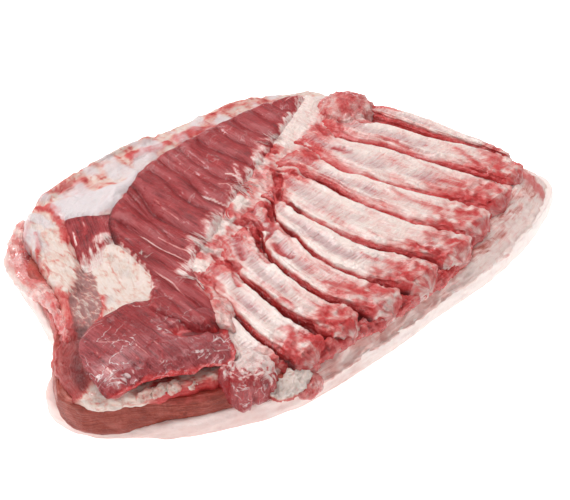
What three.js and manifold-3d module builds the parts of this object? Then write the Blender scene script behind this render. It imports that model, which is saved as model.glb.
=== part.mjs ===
// A bone-in pork belly slab that lies skin down, with the ribs and the inner muscle uppermost.
// Units are millimetres and +Z is up. X runs along the slab, from its pointed flank corner (-X) to the
// shoulder end (+X). Y runs across it, from the cut rib ends (-Y) to the flank side (+Y).
// The origin is under the middle of the slab, on the surface that it lies on.
import * as THREE from 'three';
import { mergeVertices } from 'three/addons/utils/BufferGeometryUtils.js';
import Module from 'manifold-3d';

const wasm = await Module();
wasm.setup();

// ---- Driving sizes ----------------------------------------------------------------------------
const GAP = 0.55; // left between pieces that touch
const SINK = 3; // how far a piece is first made into what carries it, before the cut
const CUT_TOLERANCE = 0.1; // how far a cut face may be from its true place
const FAT_THICKNESS = 17; // skin and back fat
const LEAN_TOP = 31; // upper side of the lean, under the ribs
const INNER_FAT_TOP = 39; // upper side of the fat under the inner muscle
const MUSCLE_TOP = 51; // crest of the inner muscle
const FLAP_TOP = 50; // upper side of the loose flap at the flank corner
const RIDGE_PITCH = 31; // the ribs have printed ridges of their own spacing into the muscle
const RIDGE_HEIGHT = 2.2;
const RIB_TOP = 49; // upper side of a rib at its inner end
const RIB_DROP = 8; // how much lower its cut end lies
const RIB_DEPTH = 25; // from the top of a rib down into its bed

// The slab seen from above, anticlockwise from the flank corner.
const SLAB_OUTLINE = [
  [-207, -12], [-203, -48], [-177, -76], [-137, -102], [-98, -119], [-40, -129], [35, -133],
  [110, -135], [176, -124], [207, -104], [191, -62], [177, 0], [166, 60], [143, 106], [98, 129],
  [40, 134], [-10, 138], [-50, 138], [-98, 133], [-140, 117], [-153, 80], [-170, 30], [-188, 7],
];
// Two corners where the layers part company: the fat is tucked in under the lean at the one,
// and stands out past the lean at the other.
const TUCKED_CORNER = [-190, -58];
const OPEN_CORNER = [200, -105];
// The flank end is rolled up a little at this corner.
const FLANK_CORNER = [-136, 98];

// The inner fat is a band between two lines, from the flank corner to the shoulder end.
const FAT_BACK_EDGE = [
  [-205, -38], [-194, -8], [-172, 12], [-158, 40], [-150, 76], [-137, 110], [-98, 129], [-40, 135],
  [30, 132], [95, 125], [147, 96],
];
const FAT_FRONT_EDGE = [
  [-198, -54], [-172, -71], [-134, -92], [-106, -92], [-98, -62], [-70, -32], [-35, -14],
  [5, 8], [50, 24], [105, 38], [154, 58],
];

// The ridged muscle is a band between two more.
const MUSCLE_BACK_EDGE = [
  [-134, -24], [-124, -12], [-110, 8], [-107, 34], [-102, 58], [-84, 72], [-58, 87], [-20, 98],
  [40, 98], [90, 98], [126, 86],
];
const MUSCLE_FRONT_EDGE = [
  [-124, -62], [-112, -66], [-98, -50], [-90, -28], [-74, -9], [-48, 0], [-12, 18],
  [28, 34], [66, 50], [102, 65], [128, 80],
];

// The loose flap of muscle over the flank corner, anticlockwise.
const FLAP_OUTLINE = [
  [-199, -62], [-192, -69], [-170, -74], [-150, -86], [-130, -93], [-114, -86], [-110, -72],
  [-116, -56], [-126, -38], [-136, -22], [-152, -13], [-172, -15], [-187, -26], [-197, -46],
];

// A slip of muscle that leaves the ridged one towards the flank.
const SLIP_PATH = [[-84, 74], [-100, 70], [-114, 56], [-124, 38]];
const SLIP_WIDTH = 25;

// The trimmed gristle and meat that runs along the inner ends of the ribs.
const ROOT_PATH = [
  [-98, -50], [-78, -30], [-52, -15], [-22, -5], [4, 6], [30, 21], [60, 34], [90, 43], [118, 52],
];
const ROOT_WIDTH = 25;
const ROOT_TOP = 46;
const SHOULDER_LUMP = [138, 47, 42, 15];
const FRONT_LUMP = [-120, -100, 30, 13];
const CORNER_LUMPS = [[-106, -114, 17, 8], [-95, -112, 22, 11]];

// Ribs from the flank end to the shoulder end: the line of each from its inner to its cut end, its width,
// and how much lower than the others it lies.
const RIBS = [
  { line: [[-100, -62], [-106, -82], [-106, -101]], width: 19, lower: 3 },
  { line: [[-91, -42], [-90, -62], [-88, -81], [-87, -98], [-83, -113]], width: 27, lower: 0 },
  { line: [[-63, -27], [-60, -48], [-60, -69], [-57, -92], [-46, -117]], width: 25, lower: 0 },
  { line: [[-32, -23], [-34, -51], [-35, -76], [-27, -101], [-12, -122]], width: 28, lower: 0 },
  { line: [[-6, -15], [-8, -46], [-5, -78], [4, -102], [20, -122]], width: 28, lower: 0 },
  { line: [[19, -6], [19, -40], [26, -68], [38, -95], [52, -121]], width: 26, lower: 0 },
  { line: [[43, 8], [51, -16], [60, -44], [72, -82], [86, -117]], width: 31, lower: 0 },
  { line: [[74, 22], [84, -4], [94, -32], [107, -68], [122, -106]], width: 33, lower: 1 },
  { line: [[111, 27], [119, 0], [130, -29], [142, -64], [154, -94]], width: 31, lower: 3 },
  { line: [[144, 22], [152, -3], [159, -28], [164, -50], [169, -70]], width: 21, lower: 7 },
];

// ---- Small tools ------------------------------------------------------------------------------
const clamp01 = (v) => Math.min(1, Math.max(0, v));
const smooth = (from, to, v) => {
  const t = clamp01((v - from) / (to - from));
  return t * t * (3 - 2 * t);
};
const bump = (x, y, [cx, cy], radius) => Math.exp(-((x - cx) ** 2 + (y - cy) ** 2) / radius ** 2);
// Slow waves that keep flesh from looking machined, between -1 and 1.
const waves = (x, y, length) =>
  (Math.sin(x / length + 1.3 * Math.sin(y / length)) + Math.sin(y / (0.7 * length) + 2.1 + x / (2 * length))) / 2;

const curveOf = (points, closed = false) =>
  new THREE.CatmullRomCurve3(points.map(([x, y, z = 0]) => new THREE.Vector3(x, y, z)), closed);

// A geometry's vertices merged and moved by a rule that is given each point and returns its new place.
function warped(geometry, rule) {
  geometry.deleteAttribute('normal');
  geometry.deleteAttribute('uv');
  const merged = mergeVertices(geometry, 1e-4);
  const position = merged.attributes.position;
  const point = new THREE.Vector3();
  for (let i = 0; i < position.count; i++) {
    const moved = rule(point.fromBufferAttribute(position, i));
    position.setXYZ(i, moved[0], moved[1], moved[2]);
  }
  return merged;
}

const closedBody = (vertProperties, triVerts) =>
  new wasm.Manifold(new wasm.Mesh({ numProp: 3, vertProperties, triVerts }));

// The closed body of a geometry, turned the right way out if its faces look inwards.
function solidOf(geometry) {
  const corners = geometry.attributes.position.array;
  const faces = new Uint32Array(geometry.index.array);
  const made = closedBody(corners, faces);
  if (made.volume() > 0) return made;
  return closedBody(corners, faces.map((_, i) => faces[i + 2 - 2 * (i % 3)]));
}

function geometryOf(solid) {
  const mesh = solid.getMesh();
  return new THREE.BufferGeometry()
    .setAttribute('position', new THREE.BufferAttribute(mesh.vertProperties, 3))
    .setIndex(new THREE.BufferAttribute(mesh.triVerts, 1));
}

// The solid with every corner moved outwards by a distance.
function grown(solid, distance) {
  const geometry = geometryOf(solid);
  geometry.computeVertexNormals();
  const { position, normal } = geometry.attributes;
  for (let i = 0; i < position.array.length; i++) {
    position.array[i] += distance * normal.array[i];
  }
  return solidOf(geometry);
}

// The solid less what it would share with the pieces that carry it, with the gap kept off them.
// What is left is worked out at once, without the short edges that cutting leaves.
function restOn(solid, carriers) {
  const keepOff = (rest, carrier) => rest.subtract(grown(carrier, GAP).add(carrier));
  const left = carriers.reduce(keepOff, solid);
  const largest = left.simplify(CUT_TOLERANCE).decompose().sort((a, b) => b.volume() - a.volume())[0];
  const { vertProperties, triVerts } = largest.getMesh();
  return closedBody(vertProperties, triVerts);
}

// ---- Surfaces of the layers -------------------------------------------------------------------
const ribSide = (x, y) => smooth(-84, -128, y) * smooth(-120, -80, x);
const shoulderEnd = (x) => smooth(138, 200, x);
const fatTop = (x, y) =>
  FAT_THICKNESS - 11 * bump(x, y, TUCKED_CORNER, 30) - 3 * ribSide(x, y) - 2 * shoulderEnd(x)
  + 0.6 * waves(x, y, 17);
const leanTop = (x, y) =>
  LEAN_TOP - 9 * ribSide(x, y) - 7 * shoulderEnd(x) - 3 * smooth(80, 128, y) + 0.7 * waves(x, y, 12);
const innerFatTop = (x, y) =>
  INNER_FAT_TOP + 3 * smooth(100, 125, y) + 6 * bump(x, y, FLANK_CORNER, 30)
  + 3 * bump(x, y, [-40, 140], 50) + 0.9 * waves(x, y, 14);
const ridge = (x, y) => Math.cos((2 * Math.PI * (x + 17 - 0.16 * (y - 45))) / RIDGE_PITCH);

// ---- Layers that follow the outline of the slab -----------------------------------------------
// Rings run from the middle of the underside, out round the edge, and back to the middle of the top.
// Each has the distance inside the outline, and a height between the lower and upper surface.
const OUTLINE_STEPS = 72;
const LAYER_RINGS = [
  [1e3, 0], [7, 0], [1.5, 0.16], [0, 0.5], [1.4, 0.84], [6, 1], [20, 1], [44, 1], [80, 1], [1e3, 1],
];

function outlineLayer(outline, bottom, top, inset) {
  const centre = new THREE.Vector2(0, 0);
  const edge = curveOf(outline, true).getSpacedPoints(OUTLINE_STEPS);
  const last = LAYER_RINGS.length - 1;
  const rows = LAYER_RINGS.map((ring, i) => new THREE.Vector2(i === 0 || i === last ? 0 : 1, i));
  return warped(new THREE.LatheGeometry(rows, OUTLINE_STEPS), (p) => {
    const [distance, share] = LAYER_RINGS[Math.round(p.y)];
    const turn = (Math.atan2(p.z, p.x) / (2 * Math.PI) + 1) % 1;
    const rim = edge[Math.round(turn * OUTLINE_STEPS) % OUTLINE_STEPS];
    const reach = Math.hypot(rim.x - centre.x, rim.y - centre.y);
    const kept = Math.max(0, 1 - (distance + inset(rim.x, rim.y)) / reach) * (distance > 500 ? 0 : 1);
    const x = rim.x * kept;
    const y = rim.y * kept;
    const low = bottom(x, y);
    return [x, y, low + share * (top(x, y) - low)];
  });
}

const edgeRipple = (x, y) => 1 + waves(x, y, 9);

function skinAndFat() {
  const inset = (x, y) => edgeRipple(x, y) + 7 * bump(x, y, TUCKED_CORNER, 26);
  return solidOf(outlineLayer(SLAB_OUTLINE, () => 0, fatTop, inset));
}

function bellyLean(carrier) {
  const inset = (x, y) =>
    1.5 + edgeRipple(y, x) + 5 * bump(x, y, OPEN_CORNER, 60) + 7 * bump(x, y, [-206, -8], 16)
    - 2 * bump(x, y, TUCKED_CORNER, 40);
  const bottom = (x, y) => fatTop(x, y) - SINK;
  return restOn(solidOf(outlineLayer(SLAB_OUTLINE, bottom, leanTop, inset)), [carrier]);
}

// ---- Bands between two lines ------------------------------------------------------------------
function band(edgeA, edgeB, alongSteps, acrossSteps, bottom, top) {
  const a = curveOf(edgeA);
  const b = curveOf(edgeB);
  return warped(new THREE.BoxGeometry(1, 1, 1, alongSteps, acrossSteps, 1), (p) => {
    const along = p.x + 0.5;
    const across = p.y + 0.5;
    const from = a.getPoint(along);
    const to = b.getPoint(along);
    const x = from.x + (to.x - from.x) * across;
    const y = from.y + (to.y - from.y) * across;
    const width = Math.hypot(to.x - from.x, to.y - from.y);
    const inside = Math.min(across, 1 - across) * width;
    return [x, y, p.z > 0 ? top(x, y, along, across, inside) : bottom(x, y)];
  });
}

// How full a layer is at a distance inside its edge: a quarter circle of the given radius.
const rounded = (inside, radius) => Math.sqrt(1 - (1 - clamp01(inside / radius)) ** 2);

function innerFat(carrier) {
  const bottom = (x, y) => leanTop(x, y) - SINK;
  const top = (x, y, along, across, inside) =>
    leanTop(x, y) + 3 + (innerFatTop(x, y) - leanTop(x, y) - 3) * rounded(inside, 7);
  return restOn(solidOf(band(FAT_BACK_EDGE, FAT_FRONT_EDGE, 34, 8, bottom, top)), [carrier]);
}

function ridgedMuscle(carriers) {
  const bottom = (x, y) => innerFatTop(x, y) - SINK;
  const top = (x, y, along, across, inside) => {
    const end = Math.min(along, 1 - along);
    const full = rounded(inside, 15) * rounded(end, 0.06);
    const crest = MUSCLE_TOP + RIDGE_HEIGHT * ridge(x, y) - INNER_FAT_TOP;
    return innerFatTop(x, y) + 1.5 + (crest - 1.5) * full;
  };
  return restOn(solidOf(band(MUSCLE_BACK_EDGE, MUSCLE_FRONT_EDGE, 50, 8, bottom, top)), carriers);
}

// ---- The flap ---------------------------------------------------------------------------------
const FLAP_RINGS = [
  [1, 0], [0.5, 0], [0.06, 0], [0, 0.4], [0.03, 0.8], [0.12, 0.97], [0.35, 1.04], [0.65, 1], [1, 0.98],
];
const FLAP_STEPS = 32;

function frontFlap(carriers) {
  const outline = curveOf(FLAP_OUTLINE, true).getSpacedPoints(FLAP_STEPS);
  const centre = [-152, -52];
  const last = FLAP_RINGS.length - 1;
  const rows = FLAP_RINGS.map((ring, i) => new THREE.Vector2(i === 0 || i === last ? 0 : 1, i));
  const geometry = warped(new THREE.LatheGeometry(rows, FLAP_STEPS), (p) => {
    const [inward, share] = FLAP_RINGS[Math.round(p.y)];
    const turn = (Math.atan2(p.z, p.x) / (2 * Math.PI) + 1) % 1;
    const rim = outline[Math.round(turn * FLAP_STEPS) % FLAP_STEPS];
    const x = rim.x + (centre[0] - rim.x) * inward;
    const y = rim.y + (centre[1] - rim.y) * inward;
    const low = Math.min(innerFatTop(x, y), INNER_FAT_TOP - 1) - SINK;
    return [x, y, low + share * (FLAP_TOP + 1.2 * waves(x, y, 10) - low)];
  });
  return restOn(solidOf(geometry), carriers);
}

// ---- Rounded bars: the ribs and the slip of muscle ----------------------------------------------
// A bar starts as an upright cylinder that is bent along its path. size gives half the width and half
// the depth of the section at each share of the way.
function bar(path, steps, sides, size) {
  const curve = curveOf(path);
  return warped(new THREE.CylinderGeometry(1, 1, 1, sides, steps), (p) => {
    const share = p.y + 0.5;
    const place = curve.getPoint(share);
    const tangent = curve.getTangent(share);
    const level = Math.hypot(tangent.x, tangent.y);
    const [halfWidth, halfDepth] = size(share);
    const side = p.x * halfWidth;
    return [
      place.x - (side * tangent.y) / level,
      place.y + (side * tangent.x) / level,
      place.z + p.z * halfDepth,
    ];
  });
}

const RIB_END_ROUNDING = 0.07; // share of a rib's length over which each end is rounded

function rib({ line, width, lower }, index, carriers) {
  const depth = RIB_DEPTH / 2;
  const path = line.map(([x, y], i) => {
    const share = i / (line.length - 1);
    return [x, y, RIB_TOP - lower - RIB_DROP * share ** 1.5 - depth];
  });
  const size = (share) => {
    const rootEnd = rounded(share, 2 * RIB_END_ROUNDING);
    const cutEnd = rounded(1 - share, RIB_END_ROUNDING);
    const full = 0.35 + 0.65 * Math.min(rootEnd, 0.35 + 0.65 * cutEnd);
    const swell = 0.82 + 0.18 * smooth(0, 0.3, share) + 0.04 * Math.sin(9 * share + 2 * index);
    return [0.5 * width * full * swell, depth * full];
  };
  return restOn(solidOf(bar(path, 12, 10, size)), carriers);
}

function muscleSlip(carriers) {
  const depth = 7;
  const path = SLIP_PATH.map(([x, y], i) => [x, y, INNER_FAT_TOP + 1.5 - 0.4 * i]);
  const size = (share) => {
    const full = 0.4 + 0.6 * rounded(Math.min(share, 1 - share), 0.22);
    return [0.5 * SLIP_WIDTH * full, depth * full];
  };
  return restOn(solidOf(bar(path, 9, 10, size)), carriers);
}

// One lumpy strip that runs along the inner ends of the ribs.
function ribRoots(carriers) {
  const depth = 9;
  const path = ROOT_PATH.map(([x, y]) => [x, y, ROOT_TOP - depth]);
  const size = (share) => {
    const knobs = 1 + 0.13 * Math.cos(2 * Math.PI * 8 * share);
    const full = 0.3 + 0.7 * rounded(Math.min(share, 1 - share), 0.05);
    return [0.5 * ROOT_WIDTH * full * knobs, depth * full * knobs];
  };
  return restOn(solidOf(bar(path, 32, 8, size)), carriers);
}

// ---- Lumps --------------------------------------------------------------------------------------
function lump([x, y, width, height], base, detail = 1) {
  const wobble = (p) => 1 + 0.09 * Math.sin(5 * p.x + x) * Math.cos(4 * p.y + y);
  return solidOf(warped(new THREE.IcosahedronGeometry(1, detail), (p) => {
    const r = wobble(p);
    return [x + p.x * r * 0.5 * width, y + p.y * r * 0.5 * width, base + p.z * r * height];
  }));
}


// ---- The slab -----------------------------------------------------------------------------------
const LEAN_RED = 0xa24a48;
const RIB_PINK = 0xdfb0aa;
const FAT_CREAM = 0xeddccf;

const slab = new THREE.Group();
slab.name = 'pork_belly_slab';

function add(name, solid, color, roughness = 0.45) {
  const material = new THREE.MeshStandardMaterial({ color, roughness, metalness: 0 });
  const mesh = new THREE.Mesh(geometryOf(solid), material);
  mesh.name = name;
  slab.add(mesh);
  return solid;
}

const fat = add('skin_and_fat', skinAndFat(), FAT_CREAM, 0.5);
const lean = add('belly_lean', bellyLean(fat), LEAN_RED);
const seam = add('inner_fat', innerFat(lean), FAT_CREAM, 0.4);
const muscle = add('ridged_muscle', ridgedMuscle([lean, seam]), LEAN_RED, 0.35);
const flap = add('front_flap', frontFlap([lean, seam, muscle]), LEAN_RED, 0.35);
const slip = add('muscle_slip', muscleSlip([lean, seam, muscle]), LEAN_RED, 0.35);
const roots = add('rib_roots', ribRoots([lean, seam, muscle, flap]), 0xcf8a82, 0.4);
const upper = [lean, seam, muscle, flap, roots];
const shoulder = add(
  'shoulder_lump', restOn(lump(SHOULDER_LUMP, leanTop(138, 47) + 6, 2), upper), 0xb56a66,
);

const ribSolids = [];
RIBS.forEach((spec, index) => {
  const name = `rib_${String(index + 1).padStart(2, '0')}`;
  const beside = ribSolids.slice(-1);
  ribSolids.push(add(name, rib(spec, index, [...upper, shoulder, ...beside]), RIB_PINK, 0.4));
});

const carried = [fat, lean, seam, flap, ribSolids[0], ribSolids[1]];
const front = add('front_lump', restOn(lump(FRONT_LUMP, 34), carried), LEAN_RED);
const corner = wasm.Manifold.union(CORNER_LUMPS.map((place) => lump(place, 31)));
add('corner_lump', restOn(corner, [...carried, front]), 0xd9a59b);

export default slab;
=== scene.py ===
# %% [markdown]
# # A raw pork belly slab
# The slab lies skin down, so its inner side is on show: ten ribs, a ridged sheet of muscle, and the fat and
# membranes round them. Flesh has no straight line in it. Each piece therefore starts as a closed primitive
# with even quads, is wrapped onto the form that the frame gives, and is then worked over like clay, with
# strokes that push the surface and strokes that stain it.

# %% Load the frame
import itertools
import math

import bmesh
import bpy
import numpy as np
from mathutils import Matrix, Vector


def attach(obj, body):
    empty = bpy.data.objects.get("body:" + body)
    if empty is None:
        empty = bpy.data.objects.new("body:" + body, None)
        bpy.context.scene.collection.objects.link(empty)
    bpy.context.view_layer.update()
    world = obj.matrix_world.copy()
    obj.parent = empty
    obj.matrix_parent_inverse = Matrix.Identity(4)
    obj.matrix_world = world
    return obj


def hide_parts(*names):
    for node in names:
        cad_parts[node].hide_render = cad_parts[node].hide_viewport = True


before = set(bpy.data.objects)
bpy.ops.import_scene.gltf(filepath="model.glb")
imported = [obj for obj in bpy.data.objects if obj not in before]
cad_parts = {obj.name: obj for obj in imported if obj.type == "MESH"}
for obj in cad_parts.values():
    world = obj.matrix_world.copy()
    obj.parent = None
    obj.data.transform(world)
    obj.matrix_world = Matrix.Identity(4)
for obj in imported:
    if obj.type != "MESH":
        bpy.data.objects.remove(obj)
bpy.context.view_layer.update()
MM = 0.001

# %% [markdown]
# ## Camera and light
# A small product is usually lit by one large soft source above and behind it, with white card all round.
# The light from behind draws a sheen on wet flesh, and leaves the sides that face us a little darker. A
# weaker light fills the left side, and two small ones put sharp glints on the wet places.

# %% Camera
LOOKS_AT = Vector((15, -3, 0)) * MM
CAMERA_DISTANCE = 832 * MM
CAMERA_TURN = math.radians(47)
CAMERA_HEIGHT = math.radians(38)
LENS = 72.2
SENSOR_WIDTH = 36

away = Vector((
    -math.cos(CAMERA_HEIGHT) * math.sin(CAMERA_TURN),
    -math.cos(CAMERA_HEIGHT) * math.cos(CAMERA_TURN),
    math.sin(CAMERA_HEIGHT),
))
bpy.ops.object.select_all(action="DESELECT")
bpy.ops.object.camera_add(location=LOOKS_AT + away * CAMERA_DISTANCE)
camera = bpy.context.object
camera.rotation_euler = (-away).to_track_quat("-Z", "Y").to_euler()
camera.data.lens = LENS
camera.data.sensor_width = SENSOR_WIDTH
bpy.context.scene.camera = camera
print("camera at", [round(v, 3) for v in camera.location])

# %% Lights
ROOM_LIGHT = 0.46


def soft_light(name, place, size, power):
    """A square area light that faces the middle of the slab."""
    bpy.ops.object.light_add(type="AREA", location=place)
    lamp = bpy.context.object
    lamp.name = name
    lamp.data.size = size
    lamp.data.energy = power
    lamp.rotation_euler = (LOOKS_AT - Vector(place)).to_track_quat("-Z", "Y").to_euler()


soft_light("top_light", (0.15, 0.5, 1.3), 0.9, 14)
soft_light("side_light", (-1.1, 0.35, 0.7), 0.9, 4.5)
soft_light("glint_light", (-0.1, 1.0, 0.9), 0.16, 2.6)
soft_light("front_glint_light", (0.5, -0.9, 0.7), 0.09, 1.2)
world = bpy.data.worlds.new("white_room")
world.use_nodes = True
background = world.node_tree.nodes["Background"].inputs
background["Color"].default_value = (1, 1, 1, 1)
background["Strength"].default_value = ROOM_LIGHT
bpy.context.scene.world = world
bpy.context.scene.view_settings.view_transform = "Standard"
bpy.context.scene.view_settings.look = "None"

# %% [markdown]
# ## Shader maths in plain Python
# A node tree is a sum written out with boxes. A small class that wraps a socket lets us write the sum
# itself, so that `1 - fat * 0.5` adds the Math nodes for us.

# %% Wires


class Wire:
    """A shader value. Arithmetic on it adds Math nodes to its finish."""

    def __init__(self, finish, socket):
        self.finish = finish
        self.socket = socket

    def math(self, operation, *values, clamp=False):
        inputs = dict(enumerate(values))
        return self.finish.add("ShaderNodeMath", inputs, operation=operation, use_clamp=clamp)

    def __add__(self, other):
        return self.math("ADD", self, other)

    def __sub__(self, other):
        return self.math("SUBTRACT", self, other)

    def __mul__(self, other):
        return self.math("MULTIPLY", self, other)

    def __rsub__(self, other):
        return self.math("SUBTRACT", other, self)

    __radd__ = __add__
    __rmul__ = __mul__

    def clamped(self):
        return self.math("ADD", self, 0, clamp=True)

    def step(self, low, high):
        """0 below low and 1 above high, with a soft step between."""
        inputs = {"Value": self, "From Min": low, "From Max": high}
        return self.finish.add("ShaderNodeMapRange", inputs, interpolation_type="SMOOTHSTEP")


class Finish:
    """A material and the nodes that it is made from."""

    def __init__(self, name):
        self.material = bpy.data.materials.new(name)
        self.material.use_nodes = True
        self.tree = self.material.node_tree
        self.shader = self.tree.nodes["Principled BSDF"]

    def add(self, kind, inputs=None, output=0, stops=(), **settings):
        node = self.tree.nodes.new(kind)
        for key, value in settings.items():
            setattr(node, key, value)
        for place, _ in stops[1:-1]:
            node.color_ramp.elements.new(place)
        for index, (_, colour) in enumerate(stops):
            node.color_ramp.elements[index].color = colour
        for key, value in (inputs or {}).items():
            self.feed(node.inputs[key], value)
        return Wire(self, node.outputs[output])

    def feed(self, socket, value):
        if isinstance(value, Wire):
            self.tree.links.new(value.socket, socket)
        else:
            socket.default_value = value

    def set(self, **values):
        """Feeds the shader's own sockets; an underscore in a name stands for a space."""
        for key, value in values.items():
            self.feed(self.shader.inputs[key.replace("_", " ")], value)

    def mask(self, name):
        return self.add("ShaderNodeAttribute", output="Fac", attribute_name=name)

    def vector(self, name):
        return self.add("ShaderNodeAttribute", output="Vector", attribute_name=name)

    def scaled(self, vector, scale):
        return self.add("ShaderNodeVectorMath", {0: vector, 1: scale}, operation="MULTIPLY")

    def mix(self, first, second, factor):
        inputs = {0: factor, 6: first, 7: second}
        return self.add("ShaderNodeMix", inputs, output=2, data_type="RGBA")

    def noise(self, vector, scale, detail=3.0, roughness=0.55, distortion=0.0):
        inputs = {"Vector": vector, "Scale": scale, "Detail": detail, "Roughness": roughness,
                  "Distortion": distortion}
        return self.add("ShaderNodeTexNoise", inputs, output="Fac")


def srgb(red, green, blue):
    """A colour as a screen shows it (0-255), turned into the linear values that a shader works with."""
    def linear(part):
        part = part / 255
        return part / 12.92 if part <= 0.04045 else ((part + 0.055) / 1.055) ** 2.4
    return (linear(red), linear(green), linear(blue), 1.0)


# %% [markdown]
# ## The finishes
# Between red meat and white fat lies every pink, so one number, from 0 for deep red to 1 for white, picks
# the colour from a ramp. Every vertex carries stains between 0 and 1: `fat` moves along that ramp, `film`
# lays the grey pearly skin of a muscle over it, `sheet` a paler and cooler membrane, `blood` a fresh cut
# red, and the fifth stain a dark red: the dark of dark meat, and painted shade in crevices, gaps and
# hollows. Fine noise breaks up their edges, and fine white creases, which are painted highlights, gather
# where the film is wet. `grain` holds a place in millimetres measured across and along the fibres, so that
# streaks follow them.

# %% Colours of flesh
RED_TO_WHITE = (
    (0.0, srgb(112, 8, 10)), (0.2, srgb(176, 34, 34)), (0.4, srgb(206, 80, 78)),
    (0.6, srgb(220, 134, 128)), (0.78, srgb(233, 188, 181)), (1.0, srgb(244, 224, 216)),
)
MUSCLE_TO_WHITE = (
    (0.0, srgb(92, 8, 14)), (0.25, srgb(142, 20, 26)), (0.5, srgb(166, 44, 47)),
    (0.75, srgb(208, 146, 142)), (1.0, srgb(232, 212, 206)),
)
BROWN_TO_WHITE = (
    (0.0, srgb(98, 26, 20)), (0.3, srgb(144, 50, 31)), (0.55, srgb(184, 98, 84)),
    (0.78, srgb(226, 172, 164)), (1.0, srgb(244, 222, 215)),
)
PINK_TO_WHITE = (
    (0.0, srgb(182, 104, 94)), (0.4, srgb(218, 164, 155)), (0.7, srgb(229, 194, 187)),
    (1.0, srgb(248, 233, 228)),
)
RED_TO_CREAM = (
    (0.0, srgb(104, 12, 14)), (0.2, srgb(160, 36, 33)), (0.4, srgb(190, 80, 74)),
    (0.6, srgb(208, 142, 131)), (0.78, srgb(214, 180, 168)), (0.9, srgb(218, 196, 184)),
    (1.0, srgb(223, 206, 198)),
)
FILM_PINK = srgb(188, 130, 132)
FRESH_RED = srgb(200, 54, 54)
SHEET_WHITE = srgb(212, 201, 202)
# dark meat, and painted shade in crevices, gaps and hollows
DARK_RED = srgb(72, 10, 12)
# white of the painted highlights along fine creases in the wet film
PAINTED_GLINT_WHITE = srgb(236, 214, 212)

# %% The flesh recipe
# how many to a millimetre, across the fibres, along them, and in depth
STREAKS = (0.34, 0.028, 0.2)
HAIRS = (1.1, 0.06, 0.7)
RUNGS = (0.09, 0.6, 0.3)
CREASES = (0.05, 0.09, 0.06)
CREASE_SHARPNESS = 4500
# how many to a metre
MOTTLES = 110.0
BLOTCHES = 36.0
GRITS = 480.0
BUMP_DEPTH = 0.0016
WET_ROUGHNESS = 0.1
WET_IOR = 1.4
SCATTER = 0.1
SCATTER_DEPTH = 0.003
SCATTER_COLOURS = (1.0, 0.32, 0.22)


def flesh(name, ramp, base, film=FILM_PINK, fibre=1.0, rungs=0.0, wet=0.35, rough=0.42, relief=0.6,
          pearl=0.7, cloudy=1.0, creased=0.0):
    """Raw meat. base is where it starts on its ramp, film the colour of its silvery skin, wet its gloss.

    The rest are strengths: fibre of the streaks, rungs of the bars across them, relief of the bumps, pearl
    of the film, cloudy of the soft patches, and creased of the white creases in the film, which are
    painted highlights.
    """
    skin = Finish(name)
    grain = skin.vector("grain")
    film_mask = skin.mask("film")
    place = skin.add("ShaderNodeTexCoord", output="Object")
    streak = skin.noise(skin.scaled(grain, STREAKS), 1.0, 4.0, 0.62) - 0.5
    hair = skin.noise(skin.scaled(grain, HAIRS), 1.0, 3.0, 0.6) - 0.5
    rung = skin.noise(skin.scaled(grain, RUNGS), 1.0, 3.0, 0.6) - 0.5
    mottle = skin.noise(place, MOTTLES, 4.0, 0.6) - 0.5
    blotch = skin.noise(place, BLOTCHES, 3.0, 0.55) - 0.5
    grit = skin.noise(place, GRITS, 4.0, 0.65) - 0.5
    lines = streak * (0.55 * fibre) + hair * (0.6 * fibre) + rung * film_mask * (2 * rungs)
    pale = skin.mask("fat") * (1 - base) + base + lines
    pale = pale + mottle * (0.4 * cloudy) + blotch * (0.3 * cloudy) + grit * 0.3
    colour = skin.add("ShaderNodeValToRGB", {"Fac": pale}, stops=ramp)
    pearly = film_mask + hair * (0.9 * fibre) + streak * (0.6 * fibre) + blotch * 0.4 + grit * 0.3
    pearly = pearly.step(0.1, 1.2)
    colour = skin.mix(colour, film, pearly * pearl)
    sheet = (skin.mask("sheet") + mottle * 0.3 + hair * 0.3).step(0.05, 0.9)
    colour = skin.mix(colour, SHEET_WHITE, sheet)
    # thin white lines along fine creases where the film is wet: painted highlights
    crease = skin.noise(skin.scaled(grain, CREASES), 1.0, 3.0, 0.6, 0.6) - 0.5
    gathered = ((mottle + blotch + streak * 0.5) * 7).clamped()
    painted_glints = (1 - crease * crease * CREASE_SHARPNESS).clamped() * gathered
    colour = skin.mix(colour, PAINTED_GLINT_WHITE, painted_glints * creased)
    red = (skin.mask("blood") + grit * 0.6 + mottle * 1.2 + streak * 0.5).step(0.1, 1.1)
    colour = skin.mix(colour, FRESH_RED, red * 0.8)
    # the fifth stain: dark meat, and painted shade in crevices, gaps and hollows
    dark = (skin.mask("deep") + mottle * 0.4 + hair * 0.3).step(0.05, 1.1)
    colour = skin.mix(colour, DARK_RED, dark * 0.9)
    height = lines * 1.6 + grit * 0.9 + mottle * 0.8 + painted_glints * (0.8 * creased)
    inputs = {"Strength": relief, "Distance": BUMP_DEPTH, "Height": height}
    bumps = skin.add("ShaderNodeBump", inputs, output="Normal")
    skin.set(
        Base_Color=colour,
        Roughness=rough + (mottle + streak) * 0.35 - pearly * 0.06,
        Coat_Weight=(blotch * (2.0 * wet) + mottle * (1.5 * wet) + 0.4 * wet).clamped(),
        Coat_Roughness=WET_ROUGHNESS,
        IOR=WET_IOR,
        Subsurface_Weight=SCATTER,
        Subsurface_Radius=SCATTER_COLOURS,
        Subsurface_Scale=SCATTER_DEPTH,
        Normal=bumps,
    )
    return skin.material


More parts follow.
